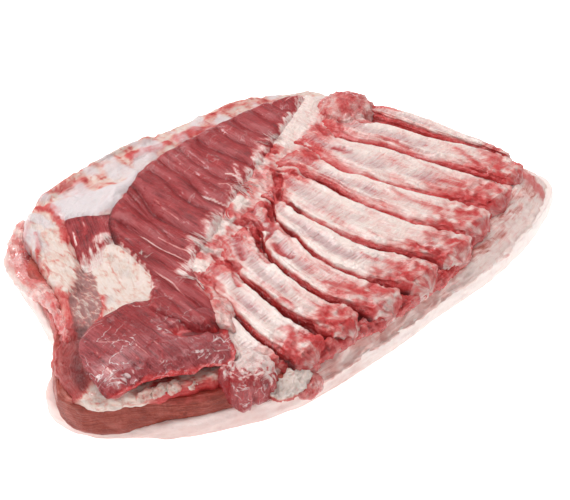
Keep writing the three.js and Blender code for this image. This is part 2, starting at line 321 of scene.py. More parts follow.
# %% Seven finishes
LEAN = flesh("inner_muscle_finish", MUSCLE_TO_WHITE, 0.25, film=srgb(168, 78, 81), fibre=1.2, wet=0.3,
             rough=0.38, creased=0.25)
FLAP_LEAN = flesh("flap_finish", MUSCLE_TO_WHITE, 0.24, film=srgb(168, 92, 96), fibre=1.2, wet=0.7,
                  rough=0.34, creased=0.8)
BAND_LEAN = flesh("lean_layer_finish", BROWN_TO_WHITE, 0.3, film=srgb(172, 90, 76), wet=0.3, rough=0.46)
RIB_MEAT = flesh("rib_finish", RED_TO_WHITE, 0.26, film=srgb(204, 152, 158), fibre=0.7, rungs=0.8, wet=0.9,
                 rough=0.2, relief=1.0, pearl=0.6, cloudy=0.6, creased=0.25)
GRISTLE = flesh("gristle_finish", RED_TO_WHITE, 0.24, film=srgb(204, 148, 146), fibre=0.8, wet=0.9,
                rough=0.2, relief=1.0, cloudy=0.6, creased=0.3)
SOFT_FAT = flesh("inner_fat_finish", RED_TO_CREAM, 0.28, film=srgb(152, 118, 114), fibre=0.9, wet=0.3,
                 pearl=0.85)
BACK_FAT = flesh("back_fat_finish", PINK_TO_WHITE, 0.3, film=srgb(220, 188, 182), fibre=0.5, wet=0.2,
                 relief=0.3)
print("finishes", [made.name for made in (LEAN, FLAP_LEAN, BAND_LEAN, RIB_MEAT, GRISTLE, SOFT_FAT, BACK_FAT)])

# %% [markdown]
# ## Tools for a form without straight lines
# These few functions work on whole arrays of points at once, in millimetres: a smooth curve through a few
# places, the distance to such a curve, and noise that does not repeat.

# %% Curves and distances


def smoothstep(low, high, value):
    share = np.clip((value - low) / (high - low), 0, 1)
    return share * share * (3 - 2 * share)


def on_curve(points, share, closed=False):
    """Places at shares of the way along a smooth curve that passes through the given points."""
    points = np.asarray(points, float)
    count = len(points)
    spans = count if closed else count - 1
    at = np.clip(np.asarray(share, float), 0, 1) * spans
    first = np.minimum(at.astype(int), spans - 1)
    t = (at - first)[:, None]

    def control(index):
        if closed:
            return points[index % count]
        before = 2 * points[0] - points[1]
        after = 2 * points[-1] - points[-2]
        padded = np.vstack([before, points, after])
        return padded[index + 1]

    p0, p1, p2, p3 = (control(first + step) for step in (-1, 0, 1, 2))
    return 0.5 * (2 * p1 + (p2 - p0) * t + (2 * p0 - 5 * p1 + 4 * p2 - p3) * t**2
                  + (3 * p1 - p0 - 3 * p2 + p3) * t**3)


def read_off(at, stops, table):
    """The rows of a table between its stops, one for each place in at."""
    return np.stack([np.interp(at, stops, column) for column in table.T], 1)


def spaced(points, count, closed=False):
    """The same curve as evenly spaced points."""
    fine = on_curve(points, np.linspace(0, 1, 40 * len(points) + 1), closed)
    run = np.concatenate([[0], np.cumsum(np.linalg.norm(np.diff(fine, axis=0), axis=1))])
    stops = np.linspace(0, run[-1], count + 1 if closed else count)
    if closed:
        stops = stops[:-1]
    return read_off(stops, run, fine)


def to_path(places, points, closed=False):
    """How far places lie from a curve seen from above, and the share of its length where it is nearest."""
    path = spaced(np.asarray(points, float)[:, :2], 8 * len(points), closed)
    if closed:
        path = np.vstack([path, path[:1]])
    best = np.full(len(places), 1e9)
    share = np.zeros(len(places))
    for index in range(len(path) - 1):
        start = path[index]
        run = path[index + 1] - start
        t = np.clip(((places[:, :2] - start) @ run) / max(run @ run, 1e-9), 0, 1)
        gap = np.linalg.norm(places[:, :2] - start - t[:, None] * run, axis=1)
        nearer = gap < best
        best[nearer] = gap[nearer]
        share[nearer] = (index + t[nearer]) / (len(path) - 1)
    return best, share


def within(places, outline):
    """Millimetres inside a closed outline seen from above, negative outside it."""
    edge = spaced(np.asarray(outline, float), 8 * len(outline), closed=True)
    following = np.roll(edge, -1, axis=0)
    x, y = places[:, 0], places[:, 1]
    inside = np.zeros(len(places), bool)
    for (x1, y1), (x2, y2) in zip(edge, following):
        crosses = (y1 > y) != (y2 > y)
        rise = y2 - y1 if y2 != y1 else 1e-9
        inside ^= crosses & (x < (x2 - x1) * (y - y1) / rise + x1)
    gap, _ = to_path(places, outline, closed=True)
    return np.where(inside, gap, -gap)


# %% Noise
SLOPES = np.random.default_rng(7).normal(size=(256, 3))
SLOPES /= np.linalg.norm(SLOPES, axis=1)[:, None]


def lattice_noise(places, seed):
    cell = np.floor(places).astype(np.int64)
    inside = places - cell
    ease = inside**3 * (inside * (inside * 6 - 15) + 10)
    total = np.zeros(len(places))
    for corner in itertools.product((0, 1), repeat=3):
        spot = cell + corner
        mixed = spot[:, 0] * 73856093 ^ spot[:, 1] * 19349663 ^ spot[:, 2] * 83492791 ^ seed * 2654435
        slope = SLOPES[(mixed ^ (mixed >> 9)) & 255]
        weight = np.prod(np.where(corner, ease, 1 - ease), axis=1)
        total += weight * ((inside - corner) * slope).sum(1)
    return total * 1.7


def noise(places, size, seed=0, octaves=1):
    """Smooth noise between about -1 and 1. size is the length of a bump, one for all axes or one each."""
    scaled = np.asarray(places, float) / size
    total = 0
    weight = 1.0
    for octave in range(octaves):
        total = total + weight * lattice_noise(scaled * 2.03**octave, seed + 17 * octave)
        weight *= 0.5
    return total / (2 - 2.0 ** (1 - octaves))


def folds(places, size, seed=0, octaves=2):
    """Sharp crests with round valleys between them, from 0 to 1."""
    return 1 - np.minimum(2.2 * np.abs(noise(places, size, seed, octaves)), 1)


def plan(x, y):
    """Places seen from above, all at height 0."""
    return np.column_stack([x, y, 0 * x])


def flat_noise(x, y, size, seed=0, octaves=2):
    return noise(plan(x, y), size, seed, octaves)


# %% Strokes and patches


def near(places, path, reach):
    """Which places lie in the box round a path."""
    path = np.asarray(path, float)[:, :2]
    flat = places[:, :2]
    return ((flat > path.min(0) - reach) & (flat < path.max(0) + reach)).all(1)


def stroke(places, path, radius, ragged=0.4, seed=0):
    """1 along a path and 0 beyond its radius, with a ragged edge."""
    value = np.zeros(len(places))
    close = near(places, path, 2 * radius)
    if close.any():
        spot = places[close]
        gap, _ = to_path(spot, path)
        edge = radius * (1 + ragged * noise(spot, 0.8 * radius + 1, seed, 2))
        value[close] = smoothstep(1, 0.25, gap / np.maximum(edge, 0.2 * radius))
    return value


def patch(places, outline, soft=3, ragged=2, seed=0):
    """1 inside an outline and 0 outside it, with a ragged edge."""
    value = np.zeros(len(places))
    close = near(places, outline, soft + 2 * ragged)
    if close.any():
        spot = places[close]
        depth = within(spot, outline) + ragged * noise(spot, 5, seed, 3)
        value[close] = smoothstep(-soft / 2, soft / 2, depth)
    return value


def strokes(places, marks, seed=0):
    """Several strokes at once. A mark is a radius, a strength and the points of its path."""
    value = np.zeros(len(places))
    for index, (radius, strength, *path) in enumerate(marks):
        value = np.maximum(value, strength * stroke(places, path, radius, 0.5, seed + 7 * index))
    return value


# %% [markdown]
# ## One way to start every piece
# A cylinder is a closed body whose quads run round it and along it. Wrapped one way it is a bar, such as a
# rib. Wrapped the other way it is a layer: its foot shrinks to the middle of the underside, its wall is the
# edge of the slab, and its head shrinks to the middle of the top. So every piece is closed from the start.

# %% Cylinder with even quads


def drum(name, around, coarse, fine):
    """A closed cylinder with coarse * fine rows of quads.

    Gives the piece, and for each vertex its turn and its level from 0 to 1, and whether it is a hub.
    """
    bpy.ops.object.select_all(action="DESELECT")
    bpy.ops.mesh.primitive_cylinder_add(vertices=around, radius=1, depth=1, end_fill_type="TRIFAN")
    piece = bpy.context.object
    piece.name = piece.data.name = name
    bpy.ops.object.mode_set(mode="EDIT")
    bpy.ops.mesh.select_mode(type="EDGE")
    for parts in (coarse, fine):
        bpy.ops.mesh.select_all(action="DESELECT")
        body = bmesh.from_edit_mesh(piece.data)
        for edge in body.edges:
            a, b = (corner.co for corner in edge.verts)
            edge.select_set((a.xy - b.xy).length < 1e-4 and abs(a.z - b.z) > 1e-4)
        bmesh.update_edit_mesh(piece.data)
        if parts > 1:
            bpy.ops.mesh.subdivide(number_cuts=parts - 1)
    bpy.ops.object.mode_set(mode="OBJECT")
    x, y, z = read_places(piece).T
    turn = np.arctan2(y, x) / (2 * np.pi) % 1
    return piece, turn, z + 0.5, np.hypot(x, y) < 0.5


def read_places(piece):
    """The vertices in metres."""
    values = np.empty(3 * len(piece.data.vertices))
    piece.data.vertices.foreach_get("co", values)
    return values.reshape(-1, 3)


def put_places(piece, places):
    """Moves the vertices to places in millimetres."""
    piece.data.vertices.foreach_set("co", (places * MM).ravel())
    piece.data.update()


def settle(piece, places):
    """Puts the vertices in their places and turns every face outwards."""
    put_places(piece, places)
    bpy.ops.object.select_all(action="DESELECT")
    piece.select_set(True)
    bpy.context.view_layer.objects.active = piece
    bpy.ops.object.mode_set(mode="EDIT")
    bpy.ops.mesh.select_all(action="SELECT")
    bpy.ops.mesh.normals_make_consistent(inside=False)
    bpy.ops.object.mode_set(mode="OBJECT")
    bpy.ops.object.shade_smooth()


# %% Working over and staining


def swell(piece, places, amount):
    """Pushes the surface out along its normals by an amount in millimetres."""
    put_places(piece, places)
    normals = np.empty(3 * len(piece.data.vertices))
    piece.data.vertex_normals.foreach_get("vector", normals)
    places = places + normals.reshape(-1, 3) * np.asarray(amount)[:, None]
    put_places(piece, places)
    return places


def stain(piece, grain, fat=0.0, film=0.0, blood=0.0, deep=0.0, sheet=0.0):
    """Writes the stains and the grain onto the vertices."""
    count = len(piece.data.vertices)
    for name, values in (("fat", fat), ("film", film), ("blood", blood), ("deep", deep), ("sheet", sheet)):
        values = np.clip(np.broadcast_to(values, count), 0, 1).astype(np.float32)
        piece.data.attributes.new(name, "FLOAT", "POINT").data.foreach_set("value", values)
    grain = np.ascontiguousarray(grain, dtype=np.float32).ravel()
    piece.data.attributes.new("grain", "FLOAT_VECTOR", "POINT").data.foreach_set("vector", grain)


MADE = []


def hand_over(piece, finish, slot, *nodes):
    """Gives a piece its finish, lets it ride on the slab, and puts it in place of its CAD nodes."""
    piece.data.materials.clear()
    piece.data.materials.append(finish)
    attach(piece, "root")
    if nodes:
        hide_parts(*nodes)
    MADE.append(piece)
    print(piece.name, len(piece.data.vertices), "vertices")


# %% [markdown]
# ## The heights of the layers
# The skin and back fat lie lowest, the lean layer lies on them, and a second fat lies on that under the
# inner muscle. These are the same sizes that the frame was built from, so each piece stays in its CAD node's
# place.

# %% Heights, in millimetres
FAT_THICKNESS = 17
LEAN_TOP = 31
INNER_FAT_TOP = 39
MUSCLE_TOP = 51
FLAP_TOP = 50
RIB_TOP = 49
RIB_DROP = 8
TUCKED_CORNER = (-190, -58)
OPEN_CORNER = (200, -105)
FLANK_CORNER = (-136, 98)
FLANK_RIM = (-40, 140)
print("layers up to", FAT_THICKNESS, LEAN_TOP, INNER_FAT_TOP, RIB_TOP, FLAP_TOP, "and", MUSCLE_TOP, "mm")


def bump(x, y, centre, radius):
    return np.exp(-((x - centre[0]) ** 2 + (y - centre[1]) ** 2) / radius**2)


def rib_side(x, y):
    return smoothstep(-84, -128, y) * smoothstep(-120, -80, x)


def fat_top(x, y):
    return (FAT_THICKNESS - 11 * bump(x, y, TUCKED_CORNER, 30) - 3 * rib_side(x, y)
            - 2 * smoothstep(138, 200, x))


def lean_top(x, y):
    return (LEAN_TOP - 9 * rib_side(x, y) - 7 * smoothstep(138, 200, x) - 3 * smoothstep(80, 128, y))


def inner_fat_top(x, y):
    return (INNER_FAT_TOP + 3 * smoothstep(100, 125, y) + 6 * bump(x, y, FLANK_CORNER, 30)
            + 3 * bump(x, y, FLANK_RIM, 50))


# %% [markdown]
# ## Skin and back fat
# The lowest layer runs out under everything else. Only its edge shows from above, as a soft white band, and
# from below its skin shows. A cylinder is wrapped into a layer here: rows near the edge are close together,
# because that is where it is seen, and rows towards the middle are far apart.

# %% Layers that follow the outline
# the way round the slab, and a distance that reaches the middle from anywhere
OUTLINE_LENGTH = 1250
TO_MIDDLE = 999
SLAB_OUTLINE = [
    (-207, -12), (-203, -48), (-177, -76), (-137, -102), (-98, -119), (-40, -129), (35, -133),
    (110, -135), (176, -124), (207, -104), (191, -62), (177, 0), (166, 60), (143, 106), (98, 129),
    (40, 134), (-10, 138), (-50, 138), (-98, 133), (-140, 117), (-153, 80), (-170, 30), (-188, 7),
]


def merged(x, y):
    """Along the ribs the layers have no step between them."""
    return smoothstep(-92, -106, y) * smoothstep(-96, -80, x)


def layer(name, outline, middle, around, coarse, fine, stops, bottom, top, inset, round_edge):
    """A slab of flesh. Each stop is a level, a distance inside the edge and a share of the height."""
    piece, turn, level, _ = drum(name, around, coarse, fine)
    edge = spaced(outline, around, closed=True)
    rim = edge[np.round(turn * around).astype(int) % around]
    stops = np.array([(0, TO_MIDDLE, 0), *stops, (1, TO_MIDDLE, 1)], float)
    _, distance, share = read_off(level, stops[:, 0], stops).T
    bulge = round_edge * (1 - np.sqrt(np.clip(1 - (2 * share - 1) ** 2, 0, 1)))
    bulge *= 1 - merged(rim[:, 0], rim[:, 1])
    ray = rim - middle
    reach = np.linalg.norm(ray, axis=1)
    kept = np.clip(1 - (distance + bulge + inset(rim[:, 0], rim[:, 1], share)) / reach, 0, 1)
    flat = middle + ray * kept[:, None]
    low = bottom(flat[:, 0], flat[:, 1])
    height = low + share * (top(flat[:, 0], flat[:, 1]) - low)
    places = np.column_stack([flat, height])
    settle(piece, places)
    along = to_path(places, outline, closed=True)[1]
    return piece, places, along * OUTLINE_LENGTH, distance, share


def edge_ripple(x, y, seed):
    return 1 + 1.6 * flat_noise(x, y, 26, seed, 3)


# %% Skin and back fat
fat, places, run, depth_in, share = layer(
    "skin_and_fat_piece", SLAB_OUTLINE, np.zeros(2), 800, 6, 7,
    [(0.03, 120, 0), (0.12, 40, 0), (0.2, 8, 0), (0.26, 0, 0), (0.62, 0, 1), (0.68, 2, 1),
     (0.86, 16, 1), (0.93, 40, 1), (0.97, 110, 1)],
    lambda x, y: 0 * x, fat_top,
    lambda x, y, share: edge_ripple(x, y, 3) + 7 * bump(x, y, TUCKED_CORNER, 26)
    + merged(x, y) * (3.0 * share + 2.5 * (1 - share) ** 4)
    + 1.0 * flat_noise(x, y + 40 * share, 14, 4, 3), 2.2,
)
places = swell(fat, places, (0.5 * noise(places, 9, 5, 3) + 0.35 * noise(places * (1, 1, 3), 5, 6, 2))
               * smoothstep(0, 2, places[:, 2]))
places[:, 2] = np.maximum(places[:, 2], 0)
put_places(fat, places)
skin_line = smoothstep(2.6, 1.2, places[:, 2])
stain(fat, np.column_stack([places[:, 2] * 2, run, depth_in]),
      fat=0.85 - 0.2 * skin_line + 0.3 * noise(places * (1, 1, 2), 14, 8, 3)
      + 0.3 * smoothstep(-60, 20, places[:, 0]) * smoothstep(0, -60, places[:, 1]),
      film=0.3 * skin_line + 0.3 * noise(places, 30, 9) + 0.8 * smoothstep(-80, -130, places[:, 0]),
      blood=0.03 + 0.25 * noise(places * (1, 1, 2), 12, 10, 3) - 0.2 * skin_line)
hand_over(fat, BACK_FAT, "back_fat", "skin_and_fat")

# %% [markdown]
# ## The lean layer
# Its cut edge is the brown-red band along the front. Along the ribs it is thinner and covered by a pale
# film, so there only a dark, grained strip next to the rib ends shows the meat. At the left the cut is
# rough. It follows the same outline as the back fat, a little further in.

# %% Lean layer


def lean_surface(x, y):
    """Outside the rib ends the top slopes down to the edge."""
    inside = within(plan(x, y), SLAB_OUTLINE)
    reach = 12 + 12 * smoothstep(60, 150, x)
    slope = smoothstep(1, 0, inside / reach) * smoothstep(-84, -100, y) * smoothstep(-96, -70, x)
    slope = np.maximum(slope, smoothstep(18, 0, inside) * smoothstep(150, 175, x))
    return lean_top(x, y) + 3 * smoothstep(60, 150, x) - (8 + 3 * smoothstep(60, 150, x)) * slope


lean, places, run, depth_in, share = layer(
    "belly_lean_piece", SLAB_OUTLINE, np.zeros(2), 1000, 7, 8,
    [(0.04, 30, 0), (0.1, 0, 0), (0.38, 0, 1), (0.42, 1.5, 1), (0.86, 34, 1), (0.93, 60, 1), (0.97, 110, 1)],
    lambda x, y: fat_top(x, y) - 1.5, lean_surface,
    lambda x, y, share: 1.5 + edge_ripple(y, x, 13) + 5 * bump(x, y, OPEN_CORNER, 60)
    + merged(x, y) * (0.5 + 4.5 * share**2)
    + 7 * bump(x, y, (-206, -8), 16) - 6 * bump(x, y, (-207, -34), 15) + 5 * bump(x, y, (-184, -72), 28)
    + 1.3 * flat_noise(x + 30 * share, y, 12, 14, 3), 3.0,
)
x, y, z = places.T
ribs_side = smoothstep(-92, -104, y) * smoothstep(-104, -92, x)
left = smoothstep(-136, -146, x) * smoothstep(-16, 4, y)
right = smoothstep(30, 110, x) * smoothstep(30, -20, y)
amount = 0.7 * noise(places, 11, 15, 3) + 0.35 * noise(places * (1, 1, 2.5), 4.5, 16, 2)
amount += ribs_side * (1.4 * noise(places, 9, 17, 3) + 1.6 * (folds(places * (0.5, 1, 1), 9, 28, 3) - 0.4))
amount += left * 1.5 * noise(places, 7, 18, 3)
places = swell(lean, places, amount)

# %% Stains of the lean layer
front = smoothstep(-30, -60, y) * smoothstep(-92, -110, x)
edge_pale = smoothstep(6, 2, depth_in + 4 * noise(places * (0.4, 1, 1), 9, 26, 3))
strip = ribs_side * (1 - edge_pale) * smoothstep(90, 40, x)
hairs = smoothstep(0.2, 0.5, noise(places * (0.14, 1, 1), 2.2, 29, 3))
fibres = np.column_stack([run, depth_in, z]) * (0.12, 1, 1)
grained = noise(fibres, 2.4, 34, 3) * smoothstep(40, 90, x) * (y < -20)
pale = ribs_side * (0.75 * edge_pale + 0.75 * hairs * (1 - edge_pale)) + 0.75 * right * (1 - 0.5 * strip)
stain(lean, np.column_stack([z * 2, run, depth_in]),
      fat=1.1 * pale + 0.35 * noise(places, 9, 22, 3) * (1 - front) * (1 - strip) + 0.9 * grained
      + 0.55 * left * smoothstep(24, 14, z) + 0.15 * right * noise(places, 22, 24, 2),
      film=(0.3 * ribs_side + 0.3 * noise(places, 14, 23, 3) + 0.1) * (1 - 0.8 * right) * (1 - strip)
      + 0.4 * left + 0.3 * strip * (1 - hairs),
      blood=0.05 + 0.4 * noise(places * (1, 1, 2), 8, 25, 3) * (1 - front) * (1 - right)
      + 0.55 * left * smoothstep(22, 27, z)
      + 0.3 * front * smoothstep(26, 30, z + 3 * noise(places, 12, 31, 2))
      + 0.35 * right * smoothstep(0.05, 0.5, noise(places * (1, 0.4, 1), 8, 32, 3))
      + 0.45 * strip * (1 - hairs) + 0.12 * right
      + 0.9 * stroke(places, [(174, -84), (180, -98), (182, -112)], 9, 0.5, 30),
      deep=strip * 0.45 * (1 - hairs) + 0.6 * (depth_in > 24) + 0.25 * front * smoothstep(26, 30, z))
hand_over(lean, BAND_LEAN, "lean", "belly_lean")

# %% [markdown]
# ## Bands: the inner fat and the ridged muscle
# A band lies between two lines. The cylinder is laid down along it and flattened: most of its sides go to
# the top, where it is seen, a few make the walls, and the rest close it underneath.

# %% The lines of both bands
FAT_BACK_EDGE = [
    (-205, -38), (-194, -8), (-172, 12), (-154, 40), (-142, 74), (-130, 107), (-98, 129), (-40, 135),
    (30, 132), (95, 125), (147, 96),
]
FAT_FRONT_EDGE = [
    (-198, -54), (-172, -71), (-134, -92), (-106, -92), (-98, -62), (-70, -32), (-35, -14), (5, 8),
    (50, 24), (105, 38), (154, 58),
]
MUSCLE_BACK_EDGE = [
    (-134, -24), (-121, -12), (-108, 4), (-103, 26), (-98, 50), (-86, 70), (-62, 84), (-20, 100),
    (40, 101), (90, 97), (130, 82),
]
MUSCLE_FRONT_EDGE = [
    (-124, -62), (-112, -66), (-98, -50), (-90, -28), (-74, -9), (-48, 0), (-12, 18), (28, 34), (66, 50),
    (102, 65), (131, 79),
]

# %% Band
# where the turn round the drum passes the band's four corners
CORNERS = [0, 0.05, 0.72, 0.77, 1]
BAND_LENGTH = 420


def band(name, edge_a, edge_b, around, coarse, fine, bottom, top, ripple):
    """A flat bar between two lines. Gives its places, the shares along and across it, and the inset."""
    piece, turn, along, hub = drum(name, around, coarse, fine)
    across = np.interp(turn, CORNERS, [0, 0, 1, 1, 0])
    across = across + 0.35 * (0.5 - 0.5 * np.cos(np.pi * across) - across)
    height = np.interp(turn, CORNERS, [0, 1, 1, 0, 0])
    across[hub] = 0.5
    height[hub] = 0.5
    from_a = on_curve(edge_a, along)
    to_b = on_curve(edge_b, along)
    width = np.linalg.norm(to_b - from_a, axis=1)
    heading = (to_b - from_a) / width[:, None]
    rough = ripple * noise(plan(*from_a.T), 9, 31, 3) * (across < 0.5)
    rough -= ripple * noise(plan(*to_b.T), 9, 32, 3) * (across >= 0.5)
    rough *= np.abs(1 - 2 * across)
    flat = from_a + (to_b - from_a) * across[:, None] + heading * rough[:, None]
    inside = np.minimum(across, 1 - across) * width
    x, y = flat.T
    low = bottom(x, y)
    z = low + height * (top(x, y, along, inside) - low)
    places = np.column_stack([flat, z])
    settle(piece, places)
    return piece, places, along, across, inside


def rounded(inside, radius):
    """The height of a quarter circle, from 0 at the edge to 1 at its radius."""
    return np.sqrt(1 - (1 - np.clip(inside / radius, 0, 1)) ** 2)


# %% [markdown]
# ## Inner fat
# Under the muscle lies a second fat with its membranes, and each part of it has a look of its own: a white
# patch beside the muscle, a grey membrane that shines, a roll of cream fat, and a thin veil along the back.
# Each is drawn as an outline seen from above, which then pushes the surface or stains it.

# %% What shows on the inner fat
WHITE_PATCH = [
    (-127, 37), (-122, 50), (-112, 59), (-98, 60), (-92, 44), (-90, 28), (-94, 16), (-104, 2),
    (-116, -12), (-129, -16), (-140, -10), (-150, -4), (-144, 6), (-138, 14), (-135, 24),
]
GREY_MEMBRANE = [
    (-131, 48), (-125, 44), (-127, 34), (-136, 20), (-144, 6), (-157, -2), (-168, -4), (-168, 4),
    (-160, 18), (-153, 29), (-140, 38),
]
CREAM_BAND = [
    (-122, 118), (-110, 108), (-112, 90), (-117, 76), (-125, 62), (-128, 50), (-138, 42), (-150, 32),
    (-154, 36), (-150, 56), (-143, 74), (-134, 95), (-129, 110),
]
ROLL_POCKET = [
    (-126, 106), (-130, 92), (-137, 78), (-143, 62), (-160, 60), (-158, 82), (-150, 98), (-139, 110),
]
VEIL = [
    (-101, 112), (-87, 112), (-63, 104), (-46, 100), (-30, 104), (-38, 92), (-58, 84), (-74, 74),
    (-86, 82), (-105, 92),
]
RED_ON_FAT = [
    (6, 0.9, (-108, 116), (-103, 110), (-106, 98), (-112, 84), (-118, 74)),
    (5, 0.6, (-102, 126), (-92, 126), (-80, 122), (-66, 121)),
    (4, 0.35, (-80, 114), (-66, 112), (-52, 104)), (6, 0.9, (-22, 120), (-4, 117), (10, 115)),
    (8, 1.0, (22, 114), (40, 112), (50, 106)), (4, 0.5, (58, 120), (84, 118), (108, 106)),
    (5, 0.6, (104, 96), (118, 92), (130, 86)),
    (5, 0.7, (-153, 50), (-154, 38), (-160, 22), (-168, 8), (-172, 3)),
    (3.5, 0.9, (-136, 14), (-146, 3), (-158, -3)), (2.5, 0.9, (-129, 93), (-134, 84), (-139, 78)),
    (3, 0.7, (-152, 34), (-160, 20), (-168, 6)), (5, 0.6, (-126, 104), (-134, 100)),
    (4, 0.8, (-168, -74), (-158, -79), (-148, -86), (-138, -92)),
]

# %% Inner fat


def fat_surface(x, y, along, inside):
    rim = rounded(inside, 6 + 9 * smoothstep(16, -8, y) * smoothstep(-158, -174, x))
    top = inner_fat_top(x, y)
    spot = plan(x, y)
    top = top + 1.2 * noise(spot, 17, 41, 2) + 0.5 * noise(spot, 6, 42, 2)
    top = top + 3.0 * stroke(spot, [(-100, 126), (-70, 131), (-36, 134), (0, 130)], 9, 0.5, 43)
    gap, share = to_path(spot, MUSCLE_BACK_EDGE[:7])
    top = top + 7.5 * smoothstep(15, 2, gap) * smoothstep(0, 0.12, share) * (1 - bump(x, y, (-92, 62), 17))
    top = top + 2.5 * stroke(spot, [(-124, 112), (-118, 84), (-132, 56), (-146, 40)], 12, 0.3, 44)
    top = top - 1.0 * patch(spot, GREY_MEMBRANE, 8, 1, 45)
    top = top + 5.0 * patch(spot, VEIL, 14, 2, 46)
    top = top - 4.0 * stroke(spot, [(-176, -6), (-186, -16), (-194, -30), (-200, -38)], 14, 0.2, 47)
    low = lean_top(x, y) + 2
    return low + (top - low) * rim


inner, places, along, _, inside = band(
    "inner_fat_piece", FAT_BACK_EDGE, FAT_FRONT_EDGE, 190, 15, 24,
    lambda x, y: lean_top(x, y) - 2, fat_surface, 2.6,
)
spot = places * (1, 1, 0)
x, y, z = places.T
red = strokes(spot, RED_ON_FAT, 57)
pocket = patch(spot, ROLL_POCKET, 9, 1, 49) * smoothstep(40, 36, z)
amount = 0.6 * noise(places, 7, 46, 3) + 0.25 * noise(places, 2.6, 47, 2)
amount = amount + 1.0 * noise(places, 5, 48, 2) * smoothstep(9, 1, inside) + 1.2 * red
creased = patch(spot, CREAM_BAND, 6, 1, 61) + patch(spot, GREY_MEMBRANE, 6, 1, 62)
amount += creased * 0.9 * (folds(places * (1, 0.5, 1), 7, 61, 3) - 0.5)
fine = folds(places * (1, 0.6, 1), 4, 64, 3)
grey = patch(spot, GREY_MEMBRANE, 3, 2, 52)
places = swell(inner, places, amount + grey * 0.6 * (fine - 0.5))

# %% Stains of the inner fat
white = patch(spot, WHITE_PATCH, 5, 4, 50)
veins = smoothstep(0.7, 0.98, folds(places * (1, 0.45, 1), 8, 63, 4))
cream = patch(spot, CREAM_BAND, 4, 2, 51)
veil = patch(spot, VEIL, 4, 2, 53)
back = smoothstep(60, 90, y) * (1 - veil)
front_strip = smoothstep(-170, -178, x) * smoothstep(-36, -44, y)
front_red = smoothstep(-178, -168, x) * smoothstep(-64, -70, y)
upper = smoothstep(34, 37, z + 2 * noise(places, 6, 66, 2))
front_red = front_red * (1 - smoothstep(-166, -154, x) * upper)
side_wall = stroke(spot, [(-172, 2), (-184, -10), (-194, -26), (-202, -36)], 17, 0.2, 60)
side_wall = side_wall * (1 - front_strip)
folded = folds(places * (1, 0.5, 1), 7, 61, 3)
stain(inner, np.column_stack([inside, along * BAND_LENGTH, z]),
      fat=np.maximum.reduce([white, cream, 0.9 * front_strip, 0.68 + 0.45 * noise(places, 9, 56, 3)])
      * (1 - 0.95 * grey) - 0.14 * cream
      - 0.6 * red - 0.35 * pocket - front_red * 0.7 - side_wall + 0.25 * (folded - 0.5)
      - (0.35 + 0.2 * white) * veins + white * (0.14 + 0.2 * noise(places, 12, 67, 3))
      + 0.9 * grey * smoothstep(0.65, 1, fine),
      sheet=1.1 * veil * (0.9 + 0.4 * noise(places, 18, 59, 2))
      + 0.7 * back * smoothstep(-0.2, 0.3, noise(places, 16, 65, 2))
      + 0.35 * white * smoothstep(0, 0.5, noise(places, 14, 68, 2)),
      film=1.1 * grey * (1 - 0.6 * smoothstep(0.65, 1, fine)) + 0.3 * back * (1 - veil) + 0.35 * side_wall,
      blood=0.6 * red + 0.05 * (1 - white) + 0.1 * pocket + 0.35 * front_red + 0.15 * side_wall,
      # painted shade between the grey membrane's folds, and in the recess of the brown-red wall beside the
      # flap
      deep=0.3 * grey * (1 - fine) + 0.12 * front_red + side_wall * (0.35 + 0.4 * smoothstep(6, 16, inside)))
hand_over(inner, SOFT_FAT, "soft_fat", "inner_fat")

# %% [markdown]
# ## The ridged muscle
# This sheet of muscle is a row of bundles with furrows between them. A furrow is a path seen from above that
# sinks into the surface, deep near its line and wide and shallow round it, and the bundles are what is left.
# The shade on the near side of each furrow and the light on its far side are painted into the colour.

# %% Furrows, bands and white tissue
FURROWS = [
    # depth, and the path
    (1.6, (-109, 12), (-105, -6), (-106, -23), (-106, -41), (-110, -61)),
    (2.2, (-85, 62), (-83, 49), (-83, 34), (-83, 20), (-81, 1), (-80, -21)),
    (1.2, (-66, 79), (-67, 59), (-70, 36), (-74, 13), (-71, -3)),
    (2.2, (-48, 90), (-51, 75), (-59, 53), (-61, 36), (-59, 20), (-58, -3)),
    (1.4, (-31, 98), (-29, 75), (-36, 50), (-36, 32), (-30, 15), (-35, 2)),
    (2.0, (-16, 99), (-15, 67), (-24, 37), (-19, 17), (-21, 2)),
    (1.4, (6, 99), (1, 71), (-1, 48), (4, 34), (3, 17)), (1.6, (24, 98), (22, 79), (27, 46), (26, 29)),
    (1.3, (44, 98), (41, 74), (46, 46)), (1.4, (62, 98), (60, 78), (64, 54)),
    (1.1, (82, 97), (79, 78), (84, 62)), (0.9, (100, 94), (97, 80), (104, 68)),
    (1.1, (-95, 56), (-95, 40), (-96, 20), (-94, -4), (-95, -28)),
    (0.9, (-8, 98), (-8, 70), (-12, 44), (-8, 26)), (0.9, (-57, 84), (-60, 66), (-66, 44)),
    (0.9, (-118, -14), (-117, -30), (-120, -50)),
]
DARK_BANDS = [
    # radius, strength, and the path
    (6, 0.8, (-77, 57), (-78, 44), (-80, 30), (-80, 18)),
    (8, 0.9, (-53, 84), (-64, 56), (-66, 39), (-64, 10)),
    (10, 0.8, (-92, 62), (-94, 45), (-98, 18), (-99, 3)),
    (9, 0.9, (-37, 59), (-36, 43), (-37, 24), (-38, 9)), (8, 0.5, (-22, 90), (-24, 72), (-30, 56)),
    (7, 0.7, (14, 92), (10, 70), (14, 48)), (8, 0.7, (52, 92), (50, 72), (38, 50)),
    (9, 0.9, (112, 86), (102, 84), (92, 86)), (7, 0.6, (-10, 84), (-12, 60), (-14, 40)),
    (8, 0.6, (-118, -20), (-120, -36), (-122, -46)), (6, 0.6, (-98, -14), (-98, -30), (-102, -46)),
    (7, 0.7, (30, 90), (32, 66), (30, 50)),
]
